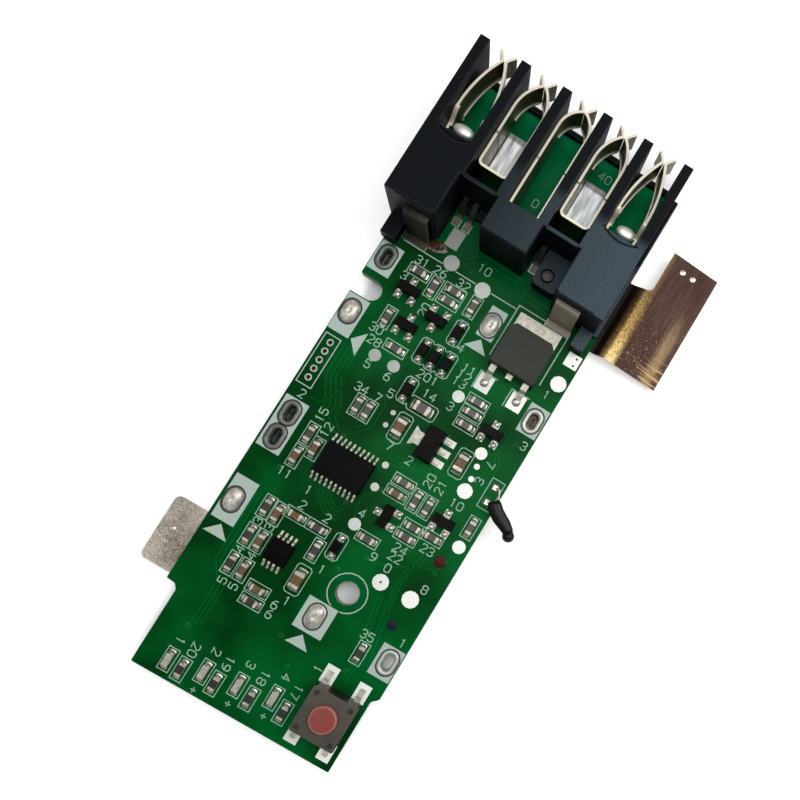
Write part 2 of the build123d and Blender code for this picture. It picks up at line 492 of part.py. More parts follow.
# Small transistors
t_body = moulding(2.9, 1.35, 1.0, 0.12)
t_lead = Pos(0, 0.675, 0) * gull(0.62, 0.5, 0.42, 0.15)
t_pad = raised(Pos(0, 1.15) * Rectangle(0.85, 1.0), 0, COPPER)
for x, y, turn in TRANSISTORS:
    spot = at(x, y, turn)
    keep("small_transistor_bodies", spot * t_body)
    for side in (spot, spot * Pos(0.95, 0, 0) * Rot(0, 0, 180), spot * Pos(-0.95, 0, 0) * Rot(0, 0, 180)):
        keep("small_transistor_leads", side * t_lead)
        keep("part_pads", side * t_pad)

# Diodes
d_body = Rot(0, 0, 90) * moulding(1.7, 1.25, 0.95, 0.12, 0.1)
d_lead = Pos(0, 0.85, 0) * gull(0.42, 0.45, 0.3, 0.13)
d_pad = raised(Pos(0, 1.2) * Rectangle(0.8, 0.8), 0, COPPER)
for x, y in DIODES:
    keep("diode_bodies", at(x, y) * d_body)
    for turn in (0, 180):
        keep("diode_leads", at(x, y, turn) * d_lead)
        keep("part_pads", at(x, y, turn) * d_pad)


def chips(places, size, end, bodies, ends):
    """Two-ended chips: a body between two ends, each end banked with a wedge of solder."""
    length, width, height = size
    body = box(-length / 2 + end, length / 2 - end, -width / 2, width / 2, 0, COPPER + height)
    cap = box(length / 2 - end, length / 2, -width / 2, width / 2, 0, COPPER + height)
    wedge = make_face(Polyline((length / 2, 0, 0), (length / 2 + 0.45, 0, 0),
                               (length / 2, 0, height * 0.65), close=True))
    wedge = Pos(0, width / 2, 0) * extrude(wedge, amount=width, dir=(0, -1, 0))
    for x, y, turn in places:
        keep(bodies, at(x, y, turn) * body)
        for side in (0, 180):
            keep(ends, at(x, y, turn + side) * cap)
            keep("chip_solder", at(x, y, turn + side) * wedge)


chips(RESISTORS, SMALL, END_CAP, "resistor_bodies", "resistor_ends")
chips(LARGE_RESISTORS, LARGE, LARGE_END, "resistor_bodies", "resistor_ends")
chips(CAPACITORS, SMALL_CAP, END_CAP, "capacitor_bodies", "capacitor_ends")
chips(LARGE_CAPACITORS, LARGE_CAP, LARGE_END, "capacitor_bodies", "capacitor_ends")
chips(LEDS, LED, END_CAP, "led_bodies", "led_ends")

# Temperature probe: two solder spots, thin wires, a flat sleeve that leaves the board, a bead
PROBE_Z = 0.75
probe_pads = [(8.85, 20.5), (8.85, 18.4)]
spot = loft([Rectangle(1.1, 1.2), Pos(0, 0, 0.5) * Rectangle(0.5, 0.6)], ruled=True)
route = FilletPolyline((9.75, 19.2, PROBE_Z), (11.4, 18.2, PROBE_Z), (13.0, 16.5, PROBE_Z), radius=2.0)
tube = sweep(Plane(route @ 0, x_dir=(0, 0, 1), z_dir=route % 0) * chamfer(
    Rectangle(0.85, 1.4).vertices(), 0.25), path=route)
levels = [-0.78, -0.7, -0.4, 0, 0.4, 0.7, 0.78]
bead = loft([Pos(13.35, 16.1, PROBE_Z + z) * disc(sqrt(0.8 ** 2 - z * z), SOME) for z in levels], ruled=True)
wires = []
for x, y in probe_pads:
    lead_in = Polyline((x + 0.1, y, 0.6), (x + 0.6, y, PROBE_Z), (10.0, 19.1 + (y - 19.1) * 0.2, PROBE_Z))
    wires.append(sweep(Plane(lead_in @ 0, z_dir=lead_in % 0) * disc(0.12, FEW), path=lead_in,
                       transition=Transition.RIGHT))
keep("probe_wires", *wires)
keep("probe_solder", *[s - wires for s in at_all(probe_pads, spot)])
tube -= wires
keep("probe_sleeve", tube - bead)
keep("probe_bead", bead)

# Out to the shared frame
X_MID = (TAB_OUT + WING_OUT) / 2
Y_MID = (REAR + TIP_Y) / 2
for name, solids in nodes.items():
    shape = Compound(children=[Pos(-X_MID, -Y_MID, -REST) * s for s in solids])
    export_step(shape, f"parts/{name}.step")
    size = shape.bounding_box().size
    print(f"{name:26s} {len(solids):3d} solids  {size.X:6.2f} {size.Y:6.2f} {size.Z:6.2f}")
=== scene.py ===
# %% [markdown]
# # Battery management board
# This notebook dresses a small circuit board in Blender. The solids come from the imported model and
# stay where they are: here they get real finishes, and thin or soft details are laid on top of them.
# All sizes are written in millimetres of the drawing, where the mounting hole is at (0, 0) and the
# face that carries the parts is at z = 0.

# %% Load the fixed frame
import bpy
from functools import partial
import numpy as np
from mathutils import Matrix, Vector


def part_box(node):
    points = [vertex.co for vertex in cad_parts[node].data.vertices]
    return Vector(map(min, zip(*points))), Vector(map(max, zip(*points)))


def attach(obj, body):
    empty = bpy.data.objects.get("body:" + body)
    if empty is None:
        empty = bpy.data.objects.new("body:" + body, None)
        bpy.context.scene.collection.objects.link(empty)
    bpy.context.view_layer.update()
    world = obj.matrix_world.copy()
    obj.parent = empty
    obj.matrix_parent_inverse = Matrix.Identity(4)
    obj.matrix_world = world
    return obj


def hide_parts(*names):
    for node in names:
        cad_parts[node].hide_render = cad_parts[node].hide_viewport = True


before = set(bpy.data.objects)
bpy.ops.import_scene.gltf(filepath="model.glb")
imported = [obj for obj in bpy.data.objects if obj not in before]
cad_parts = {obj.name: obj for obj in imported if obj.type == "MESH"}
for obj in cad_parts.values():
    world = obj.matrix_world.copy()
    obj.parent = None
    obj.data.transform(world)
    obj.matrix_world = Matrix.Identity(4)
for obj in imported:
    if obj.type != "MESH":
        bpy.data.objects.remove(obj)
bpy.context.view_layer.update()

# %% [markdown]
# ## From the drawing to the shared frame
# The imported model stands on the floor, centred in X and Y, in metres. Two small functions carry every
# point there and turn colours written as sRGB hex into the linear values that shaders expect.

# %% Units and colours
DRAWING_ORIGIN = np.array([-2.1, 23.25, -2.5])   # drawing millimetres of the frame's origin
MM = 0.001


def to_frame(points):
    """Each drawing point less the origin, times a thousandth: millimetres to metres."""
    return (np.asarray(points, float) - DRAWING_ORIGIN) * MM


def linear(hex_colour, alpha=1.0):
    """sRGB to linear: c / 12.92 below 0.04045, else ((c + 0.055) / 1.055) to the power 2.4."""
    c = np.array([int(hex_colour[i:i + 2], 16) for i in (1, 3, 5)]) / 255
    low = c <= 0.04045
    return (*np.where(low, c / 12.92, ((c + 0.055) / 1.055) ** 2.4), alpha)


print("mounting hole in metres:", to_frame([0, 0, 0]))

# %% [markdown]
# ## Meshes from whole arrays
# Thin print, tracks and solder are surfaces with a simple rule: a grid of points whose rows are
# joined by four-sided faces, or a small cross-section carried along a path. Both are worked out as
# numpy arrays, which is quick and keeps every corner exact.

# %% Grids, pieces and joined parts
def grid_faces(rows, columns, wrap_rows=False, wrap_columns=False):
    """Four-sided faces between neighbouring rows and columns of a grid, closed round if asked.

    Their front is on the side from which the turn from columns to rows runs anticlockwise.
    """
    r = np.arange(rows if wrap_rows else rows - 1)
    c = np.arange(columns if wrap_columns else columns - 1)
    r, c = (a.ravel() for a in np.meshgrid(r, c, indexing="ij"))
    r2, c2 = (r + 1) % rows, (c + 1) % columns
    return np.stack([r * columns + c, r * columns + c2, r2 * columns + c2, r2 * columns + c], 1)


def joined(shapes):
    """Several (points, faces) as one: each shape's faces are moved on by the points before it."""
    points, faces, start = [], [], 0
    for p, f in shapes:
        points.append(p)
        faces += [tuple(int(i) + start for i in face) for face in f]
        start += len(p)
    return np.vstack(points), faces


def piece(name, shape, material, smooth=False, body="board"):
    """Puts (points, faces) in drawing millimetres into an object that rides on a body."""
    points, faces = shape
    mesh = bpy.data.meshes.new(name)
    mesh.from_pydata(to_frame(points).tolist(), [], [tuple(map(int, f)) for f in faces])
    mesh.polygons.foreach_set("use_smooth", np.full(len(mesh.polygons), smooth))
    mesh.validate()
    obj = bpy.data.objects.new(name, mesh)
    bpy.context.scene.collection.objects.link(obj)
    obj.data.materials.append(material)
    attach(obj, body)
    print(f"{name}: {len(points)} points, {len(mesh.polygons)} faces")
    return obj


# %% Ribbons: a trapezium carried along a line
def offsets(path, closed):
    """At each point of a line, the mitred sideways step that keeps a unit distance."""
    path = np.asarray(path, float)
    ahead = np.roll(path, -1, 0) - path
    ahead /= np.maximum(np.linalg.norm(ahead, axis=1, keepdims=True), 1e-9)
    behind = np.roll(ahead, 1, 0)
    if not closed:
        ahead[-1], behind[0] = behind[-1], ahead[0]
    mean = ahead + behind
    mean /= np.maximum(np.linalg.norm(mean, axis=1, keepdims=True), 1e-9)
    side = np.stack([-mean[:, 1], mean[:, 0]], 1)
    lean = np.maximum((mean * ahead).sum(1, keepdims=True), 0.45)
    return side / lean


def ribbon(path, width, top, low=0.0, closed=False, slope=0.0):
    """A flat strip: at each point four corners, left low, left top, right top, right low."""
    path = np.asarray(path, float)
    step, n = offsets(path, closed), len(path)
    half = np.array([width / 2, width / 2 - slope, -(width / 2 - slope), -width / 2])
    xy = path[:, None, :] + step[:, None, :] * half[None, :, None]
    z = np.broadcast_to(np.array([low, top, top, low])[None, :, None], (n, 4, 1))
    points = np.concatenate([xy, z], 2).reshape(-1, 3)
    faces = grid_faces(n, 4, wrap_rows=closed, wrap_columns=True).tolist()
    if not closed:
        faces += [[3, 2, 1, 0], [4 * n - 4, 4 * n - 3, 4 * n - 2, 4 * n - 1]]
    return points, faces


def placed(shape, x, y, turn=0.0, z=0.0):
    """A shape turned about its origin by degrees, then moved to x, y and raised by z."""
    points, faces = shape
    a = np.radians(turn)
    spin = np.array([[np.cos(a), np.sin(a), 0], [-np.sin(a), np.cos(a), 0], [0, 0, 1]])
    return points @ spin + [x, y, z], faces


# %% Slot outlines and mounds
AROUND = 40          # points round a slot outline


def stadium(width, length):
    """A slot outline along Y: a circle of the slot's width, its halves drawn apart to its length."""
    t = np.linspace(0, 2 * np.pi, AROUND, endpoint=False)
    r = width / 2
    return np.stack([r * np.cos(t), r * np.sin(t) + np.sign(np.sin(t + 1e-9)) * (length / 2 - r)], 1)


def carried_round(profile, width, length):
    """A closed section of (inset, z) pairs: for each, the slot outline smaller by the inset, at z."""
    rings = [np.column_stack([stadium(width - 2 * inset, length - 2 * inset), np.full(AROUND, z)])
             for inset, z in profile]
    return np.vstack(rings), grid_faces(len(profile), AROUND, True, True)


def oval_rings(r, z, width, length, square, count):
    """Rings x = r width / 2 cos t and y = r length / 2 sin t, where sin t has the power square."""
    t = np.linspace(0, 2 * np.pi, count, endpoint=False)
    x = np.outer(r, width / 2 * np.cos(t))
    y = np.outer(r, length / 2 * np.sign(np.sin(t)) * np.abs(np.sin(t)) ** square)
    return np.stack([x, y, np.broadcast_to(np.asarray(z)[:, None], x.shape)], 2).reshape(-1, 3)


def mound(width, length, height, rings=7, count=28, power=2.2, low=0.0):
    """A solder mound on an oval: the height is h (1 - r ^ power) ^ 0.6 at the part r of the way out."""
    r = np.sin(np.linspace(0, np.pi / 2, rings))[1:]
    z = low + height * (1 - r ** power).clip(0) ** 0.6
    points = np.vstack([[[0, 0, low + height]], oval_rings(r, z, width, length, 0.85, count)])
    faces = (grid_faces(rings - 1, count, False, True)[:, ::-1] + 1).tolist()
    faces += [[0, 1 + i, 1 + (i + 1) % count] for i in range(count)]
    faces.append(list(range(1 + (rings - 2) * count, 1 + (rings - 1) * count))[::-1])
    return points, faces


print("shape helpers ready")

# %% [markdown]
# ## Finishes
# Every finish starts from what the real surface is and how it was made. One helper adds any node and
# joins it up. Another starts a material with its coordinates in millimetres, so a noise of scale 5
# has lumps about a fifth of a millimetre wide on the board itself.

# %% Node helpers
COLOUR = {"out": 2, "data_type": "RGBA"}     # a Mix node blends colours, its inputs 6 and 7


def fill(node, inputs):
    """Gives each input, by name or counted from the first, a link, a hex colour or a plain value."""
    for key, value in inputs.items() if isinstance(inputs, dict) else enumerate(inputs):
        if isinstance(value, bpy.types.NodeSocket):
            node.id_data.links.new(value, node.inputs[key])
        else:
            node.inputs[key].default_value = linear(value) if isinstance(value, str) else value


def add(tree, kind, inputs=(), out=0, **settings):
    """One node with its settings, links and values. Gives back the output that is used."""
    node = tree.nodes.new("ShaderNode" + kind)
    for key, value in settings.items():
        setattr(node, key, value)
    fill(node, inputs)
    return node.outputs[out]


def tools(mat, moved=(0, 0, 0)):
    """A material's shader, its own add function, and the object's coordinates in mm, then moved."""
    node = partial(add, mat.node_tree)
    own = node("TexCoord", out="Object")
    mm = node("Mapping", {"Vector": own, "Location": moved, "Scale": (1 / MM, 1 / MM, 1 / MM)})
    return mat.node_tree.nodes["Principled BSDF"], node, mm


def start(name, colour, roughness, **sockets):
    """A named material whose shader gets plain values, with its tools."""
    mat = bpy.data.materials.new(name)
    mat.use_nodes = True
    shader, node, mm = tools(mat)
    fill(shader, {"Base Color": colour, "Roughness": roughness})
    fill(shader, {key.replace("_", " "): value for key, value in sockets.items()})
    return mat, shader, node, mm


finishes = {}
print("node helpers ready")

# %% [markdown]
# ### Solder mask on glass laminate
# The board is woven glass in epoxy, coated with a green liquid film that is cured to a gloss. Over
# copper the film looks lighter and warmer than over bare glass, and the weave shows as a faint grid.
# The cut edge has no film: there the laminate is pale and matt. A film that is lit from one side only
# would look milky, so its mirror part is kept low.

# %% Green solder mask
def green_mask(name, dark, light, tone_and_painted_light_by_connector):
    """Glossy film: slow copper pools, weave 0.5 mm apart, and by the connector a paler tone, partly
    painted light.
    """
    mat, shader, node, mm = start(name, light, 0.24, IOR=1.52, Specular_IOR_Level=0.025)
    pools = node("MapRange", (node("TexNoise", {"Vector": mm, "Scale": 0.09, "Detail": 2.0}), 0.40, 0.62))
    film = node("Mix", {0: pools, 6: dark, 7: light}, **COLOUR)
    # Towards the connector the film turns bluer and paler: partly its own tone, partly painted light
    # lifting the shaded bays.
    along = node("MapRange", (node("SeparateXYZ", (mm,), "Y"), 18.0, 34.0))
    film = node("Mix", {0: along, 6: film, 7: tone_and_painted_light_by_connector}, **COLOUR)
    up = node("SeparateXYZ", (node("NewGeometry", out="Normal"),), "Z")
    flat = node("MapRange", (node("Math", (up,), operation="ABSOLUTE"), 0.3, 0.7))
    glass = node("TexNoise", {"Vector": mm, "Scale": 3.0, "Detail": 3.0})
    edge = node("Mix", {0: glass, 6: "#6f7d62", 7: "#9aa68c"}, **COLOUR)
    threads = {"Vector": mm, "Scale": 0.32, "Distortion": 0.6}
    cloth = node("Math", [node("TexWave", threads, "Fac", bands_direction=way) for way in "XY"],
                 operation="ADD")
    wavy = node("TexNoise", {"Vector": mm, "Scale": 0.5, "Detail": 3.0})
    waves = node("Bump", {"Height": wavy, "Distance": 0.03 * MM, "Strength": 0.35})
    fill(shader, {
        "Base Color": node("Mix", {0: flat, 6: edge, 7: film}, **COLOUR),
        "Roughness": node("MapRange", (flat, 0, 1, 0.62, 0.22)),
        "Normal": node("Bump", {"Height": cloth, "Distance": 0.002 * MM, "Strength": 0.25,
                                "Normal": waves})})
    return mat


finishes["mask"] = green_mask("solder_mask_over_laminate", "#00380f", "#005a24", "#007a48")
finishes["mask_track"] = green_mask("solder_mask_over_copper", "#004a19", "#00672d", "#00854f")
print("mask ready")

# %% [markdown]
# ### Tin, solder and nickel
# Pads are dipped in molten tin and blown flat, so they are bright but slightly matt. Solder that froze
# in a heap is smoother, with fine wrinkles. Plating is painted dull on the left and bright on the right,
# painted light from the lamp's side with its glare in the pads. The weld tabs are rolled nickel: one
# is etched rough, the other is painted brown, with gold at the bend as a painted warm reflection and
# painted shade beside the connector.

# %% Tin and solder
def levelled_tin(name, dark, light, roughness, depth, metal):
    """Bright tin with cloudy frost about half a millimetre across, over relief of a given depth."""
    mat, shader, node, mm = start(name, light, roughness, Metallic=metal)
    cloud = node("TexNoise", {"Vector": mm, "Scale": 1.6, "Detail": 4.0})
    fine = node("TexNoise", {"Vector": mm, "Scale": 5.0, "Detail": 3.0})
    frost = node("MapRange", (cloud, 0.35, 0.65))
    fill(shader, {
        "Base Color": node("Mix", {0: frost, 6: dark, 7: light}, **COLOUR),
        "Roughness": node("MapRange", (fine, 0.3, 0.7, roughness - 0.08, roughness + 0.12)),
        "Normal": node("Bump", {"Height": fine, "Distance": depth * MM, "Strength": 0.3})})
    return mat


def plating_painted_lit_from_right(name, left, right, x0, x1, metal, roughness):
    """Painted light: plated copper from a dull left tone at x0 mm to a bright one at x1, its border
    clouded by 6 mm.
    """
    mat, shader, node, mm = start(name, right, roughness, Metallic=metal)
    cloud = node("TexNoise", {"Vector": mm, "Scale": 1.8, "Detail": 4.0})
    x = node("Math", (cloud, 6.0, node("SeparateXYZ", (mm,), "X")), operation="MULTIPLY_ADD")
    fill(shader, {
        # Dull on the left and bright on the right: painted light from the lamp's side, and its glare in
        # the pads.
        "Base Color": node("Mix", {0: node("MapRange", (x, x0, x1)), 6: left, 7: right}, **COLOUR),
        "Normal": node("Bump", {"Height": cloud, "Distance": 0.02 * MM, "Strength": 0.3})})
    return mat


def frozen_solder():
    """Bright solder that cooled in a heap: wrinkles 0.3 mm apart and duller freckles."""
    mat, shader, node, mm = start("frozen_solder", "#d9d8cc", 0.3, Metallic=0.85)
    ripple = node("TexNoise", {"Vector": mm, "Scale": 2.4, "Detail": 5.0, "Distortion": 0.6})
    freckle = node("TexVoronoi", {"Vector": mm, "Scale": 3.0})
    wrinkle = node("MapRange", (ripple, 0.3, 0.7))
    fill(shader, {
        "Base Color": node("Mix", {0: wrinkle, 6: "#8f8d80", 7: "#d9d8cc"}, **COLOUR),
        "Roughness": node("MapRange", (freckle, 0.0, 0.6, 0.34, 0.16)),
        "Normal": node("Bump", {"Height": ripple, "Distance": 0.05 * MM, "Strength": 0.4})})
    return mat


finishes["solder"] = frozen_solder()
finishes["tin"] = levelled_tin("levelled_tin", "#8f9389", "#bfc2b8", 0.45, 0.012, 0.6)
finishes["bright_tin"] = levelled_tin("bright_lead_tin", "#a29d8d", "#c9c4b6", 0.42, 0.006, 0.55)
finishes["slot_fill"] = levelled_tin("dull_slot_filling", "#aaa69b", "#dbd6cc", 0.4, 0.006, 0.6)
finishes["dull_skin"] = levelled_tin("painted_shade_skin_in_slot", "#1f231f", "#4b4f48", 0.5, 0.02, 0.5)
finishes["brown_skin"] = levelled_tin("fluxed_solder_skin", "#5c5040", "#8a7d69", 0.5, 0.02, 0.3)
finishes["ring_tin"] = plating_painted_lit_from_right("plated_slot_copper", "#5f6059", "#b9bcb1", -14.0, 0.0, 0.6, 0.42)
finishes["pad_tin"] = plating_painted_lit_from_right("pale_pad_tin", "#a3aaa1", "#f4f6ef", -6.0, 11.5, 0.35, 0.6)
finishes["outer_leg"] = plating_painted_lit_from_right("fluxed_leg_plating", "#17120c", "#8d8674", -12.0, 4.0, 0.5, 0.45)
print("tin and solder ready")

# %% Weld tabs
def nickel_strip(name, dark, light, grain, roughness, depth, metal=1.0):
    """Rolled nickel: grain of the given size in mm, rolling lines along Y and slow blots."""
    mat, shader, node, mm = start(name, light, roughness, Metallic=metal)
    pits = node("TexNoise", {"Vector": mm, "Scale": 1 / grain, "Detail": 5.0, "Roughness": 0.7})
    blot = node("TexNoise", {"Vector": mm, "Scale": 0.16, "Detail": 2.0})
    stain = node("Math", (node("MapRange", (pits, 0.3, 0.7, 0, 0.55)),
                          node("MapRange", (blot, 0.35, 0.65, 0, 0.5))), operation="ADD")
    lines = node("Mapping", {"Vector": mm, "Scale": (2.2, 0.12, 1.0), "Rotation": (0, 0, 0.18)})
    rolled = node("TexNoise", {"Vector": lines, "Scale": 2.0, "Detail": 4.0})
    below = node("Bump", {"Height": rolled, "Distance": 0.012 * MM, "Strength": 0.4})
    fill(shader, {
        "Base Color": node("Mix", {0: stain, 6: dark, 7: light}, **COLOUR),
        "Roughness": node("MapRange", (rolled, 0.35, 0.65, roughness - 0.07, roughness + 0.1)),
        "Normal": node("Bump", {"Height": pits, "Distance": depth * MM, "Strength": 0.6,
                                "Normal": below})})
    return mat


def nickel_with_painted_reflection(mat):
    """Tones laid over nickel, each by a share: the product of ramps over a field of the strip.

    Gold at the bend is a painted warm reflection, and the near-black band at x 11.2 to 11.9 mm is
    painted shade beside the connector.

    A ramp is (field, from, to, share at from, share at to). The fields are drawing x and y in mm, the
    distance from two lines along Y, a grit of 0.3 mm and slanting score lines.
    """
    shader, node, mm = tools(mat, tuple(DRAWING_ORIGIN))
    x, y = (node("SeparateXYZ", (mm,), axis) for axis in "XY")
    bend, outer = (node("Math", (node("Math", (x, line), operation="SUBTRACT"),), operation="ABSOLUTE")
                   for line in (12.6, 18.4))
    grit = node("TexNoise", {"Vector": mm, "Scale": 3.2, "Detail": 4.0, "Roughness": 0.7})
    slant = node("Mapping", {"Vector": mm, "Scale": (0.2, 3.0, 1.0), "Rotation": (0, 0, 0.12)})
    score = node("TexNoise", {"Vector": slant, "Scale": 1.3, "Detail": 2.0})
    # Gold at the bend is a painted warm reflection on the nickel.
    bend_reflection = [(bend, 0.35, 1.3, 1, 0), (grit, 0.42, 0.56, 0.35, 1), (y, 43.0, 53.5, 1, 0.25)]
    layers = [("#cba75f", bend_reflection),
              ("#efd592", bend_reflection + [(y, 43.0, 47.0, 0.8, 0)]),
              ("#8a7455", [(outer, 0.3, 1.1, 0.75, 0), (y, 48.0, 53.0, 1, 0)]),
              ("#b89b74", [(grit, 0.58, 0.66), (y, 46.0, 54.0, 0.5, 0)]),
              ("#b3976a", [(score, 0.52, 0.60), (y, 44.6, 46.2, 0.75, 0), (x, 16.2, 17.6)]),
              # The near-black band by the connector is painted shade.
              ("#0d0704", [(x, 11.2, 11.9, 0.85, 0)])]
    colour = shader.inputs["Base Color"].links[0].from_socket
    for tone, (first, *others) in layers:
        share = node("MapRange", first)
        for other in others:
            share = node("Math", (share, node("MapRange", other)), operation="MULTIPLY")
        colour = node("Mix", {0: share, 6: colour, 7: tone}, **COLOUR)
    fill(shader, {"Base Color": colour, "Specular IOR Level": 0.15})
    return mat


finishes["left_nickel"] = nickel_strip("etched_nickel_strip", "#64594d", "#ece1d1", 0.26, 0.42, 0.2)
# The brown body and gold bend of the right tab are a painted warm reflection on its nickel.
finishes["right_nickel"] = nickel_with_painted_reflection(
    nickel_strip("nickel_strip_painted_warm_reflection", "#35241e", "#49342b", 0.5, 0.42, 0.008, 0.5))
print("weld tabs ready")

# %% [markdown]
# ### Spring contacts
# The forks are stamped from thin copper alloy and plated. The rolled faces stand in the dark bay and
# look olive brown, and the cut top edges catch the light, so they read as cream lines. That tone is
# painted: it follows how far a face looks up, cream as a painted highlight on top and olive brown as
# painted shade and reflection on the sides, and a long soft grain runs along the strip.

# %% Plated spring sheet
def plated_spring(name, dark, light, edge, roughness):
    """Plated copper alloy with drawing lines: sides painted olive brown as shade, tops painted cream as a
    highlight.
    """
    mat, shader, node, mm = start(name, light, roughness)
    lines = node("Mapping", {"Vector": mm, "Scale": (1.0, 0.25, 4.0)})
    drawn = node("TexNoise", {"Vector": lines, "Scale": 1.5, "Detail": 4.0})
    face = node("Mix", {0: node("MapRange", (drawn, 0.35, 0.7)), 6: dark, 7: light}, **COLOUR)
    up = node("SeparateXYZ", (node("NewGeometry", out="Normal"),), "Z")
    rim = node("MapRange", (node("Math", (up,), operation="ABSOLUTE"), 0.35, 0.6))
    fill(shader, {
        # Up-facing faces take the cream colour, a painted highlight; the sides keep the olive brown,
        # painted shade.
        "Base Color": node("Mix", {0: rim, 6: face, 7: edge}, **COLOUR),
        "Metallic": node("MapRange", (rim, 0, 1, 0.85, 0.35)),
        "Normal": node("Bump", {"Height": drawn, "Distance": 0.012 * MM, "Strength": 0.35})})
    return mat


finishes["spring"] = plated_spring("plated_spring_sheet", "#4d4630", "#857a58", "#ebe2c9", 0.34)
finishes["dome"] = plated_spring("stainless_dome", "#9c9a94", "#d8d6d0", "#d8d6d0", 0.25)
print("spring sheet ready")

# %% [markdown]
# ### Mouldings
# The connector is glass-filled nylon: near black, with a fine sparkle where the tool was eroded. Its
# block tops are painted paler towards the right as a painted glare, and a pale line along its edges is a
# painted highlight. Chip packages are black epoxy moulded in a smoother tool. The button is a red
# plastic that turns paler near its rim, and the sleeve is soft black vinyl with a low gloss. Small
# bodies are moulded or fired too: a capacitor is a tan block, an LED a milky case, and print is a thin
# layer of cured ink.

# %% Plastics, epoxy and ink
def moulded(name, dark, light, roughness, grain, depth, **sockets):
    """Moulded plastic: speckle of the given grain in mm, slow cloud in its gloss."""
    mat, shader, node, mm = start(name, light, roughness, **sockets)
    speck = node("TexNoise", {"Vector": mm, "Scale": 1 / grain, "Detail": 4.0, "Roughness": 0.65})
    cloud = node("TexNoise", {"Vector": mm, "Scale": 0.25, "Detail": 2.0})
    tone = node("MapRange", (speck, 0.35, 0.68))
    fill(shader, {
        "Base Color": node("Mix", {0: tone, 6: dark, 7: light}, **COLOUR),
        "Roughness": node("MapRange", (cloud, 0.3, 0.7, roughness - 0.07, roughness + 0.07)),
        "Normal": node("Bump", {"Height": speck, "Distance": depth * MM, "Strength": 0.5})})
    return mat


def nylon_with_painted_glare():
    """Near-black nylon: fine speckle, block tops painted paler to the right as glare, a painted highlight
    line on edges.
    """
    mat, shader, node, mm = start("glass_filled_nylon", "#10151a", 0.5, IOR=1.5, Specular_IOR_Level=0.07)
    true = node("NewGeometry", out="Normal")
    up = node("MapRange", (node("SeparateXYZ", (true,), "Z"), 0.6, 0.9))
    across = node("MapRange", (node("SeparateXYZ", (mm,), "X"), -12.0, 9.0))
    behind = node("MapRange", (node("SeparateXYZ", (mm,), "Y"), 29.8, 31.4, 1, 0))
    # Block tops painted paler towards the right: a painted glare of the lamp.
    painted_glare = node("Math", (across, behind), operation="MULTIPLY")
    painted_glare = node("Math", (painted_glare, up), operation="MULTIPLY")
    speck = node("TexNoise", {"Vector": mm, "Scale": 6.5, "Detail": 4.0, "Roughness": 0.7})
    grain = node("MapRange", (speck, 0.35, 0.68))
    plain = node("Mix", {0: grain, 6: "#07090c", 7: "#12171c"}, **COLOUR)
    pale = node("Mix", {0: grain, 6: "#2f3a40", 7: "#4e5d65"}, **COLOUR)
    body = node("Mix", {0: painted_glare, 6: plain, 7: pale}, **COLOUR)
    soft = node("Bevel", {"Radius": 0.14 * MM}, samples=4)
    same = node("VectorMath", (soft, true), "Value", operation="DOT_PRODUCT")
    # A pale line along the edges is a painted highlight.
    painted_edge_highlight = node("MapRange", (same, 0.985, 0.90, 0, 0.55))
    fill(shader, {
        "Base Color": node("Mix", {0: painted_edge_highlight, 6: body, 7: "#55606a"}, **COLOUR),
        "Normal": node("Bump", {"Height": speck, "Distance": 0.03 * MM, "Strength": 0.5,
                                "Normal": soft})})
    return mat


finishes["nylon"] = nylon_with_painted_glare()
for key, name, dark, light, roughness, grain, depth, ior, mirror in (
        ("epoxy", "black_moulding_epoxy", "#020202", "#060606", 0.3, 0.12, 0.012, 1.55, 0.04),
        ("grey_epoxy", "grey_moulding_epoxy", "#2c2f2a", "#40433d", 0.5, 0.13, 0.02, 1.55, 0.1),
        ("switch_black", "black_switch_plastic", "#0d0d0d", "#1c1b1a", 0.42, 0.15, 0.02, 1.5, 0.5),
        ("sleeve", "black_vinyl_sleeve", "#030303", "#0c0b0a", 0.3, 0.3, 0.02, 1.5, 0.2),
        ("groove", "shadowed_nylon_groove", "#020304", "#06080a", 0.6, 0.3, 0.01, 1.5, 0.05),
        ("peg", "cut_peg_end", "#2b261e", "#4d4537", 0.5, 0.3, 0.02, 1.5, 0.5),
        ("capacitor", "fired_ceramic_tan", "#513d27", "#7d6446", 0.4, 0.3, 0.02, 1.6, 0.15),
        ("led", "milky_led_case", "#8f8c80", "#bbb7a9", 0.3, 0.4, 0.02, 1.5, 0.5),
        ("ink", "white_legend_ink", "#a2b2a8", "#b2c2b8", 0.55, 0.25, 0.01, 1.5, 0.5),
        ("thin_ink", "thin_legend_ink", "#7fa88d", "#a9c6b1", 0.55, 0.4, 0.01, 1.5, 0.5),
        ("red_dot", "dried_red_ink", "#2c0704", "#531208", 0.3, 0.25, 0.02, 1.5, 0.1),
        ("violet_dot", "dried_violet_ink", "#130e22", "#241c3c", 0.3, 0.25, 0.02, 1.5, 0.1),
        # The margin colour is painted shade, in the gaps round the slot rings and in the pin hole.
        ("margin", "laminate_gap_painted_shade", "#121d17", "#223028", 0.5, 0.3, 0.01, 1.5, 0.5)):
    finishes[key] = moulded(name, dark, light, roughness, grain, depth, IOR=ior, Specular_IOR_Level=mirror)
print("plastics ready")

# %% Button and cover
BUTTON_XY = np.array([5.6, -13.6])


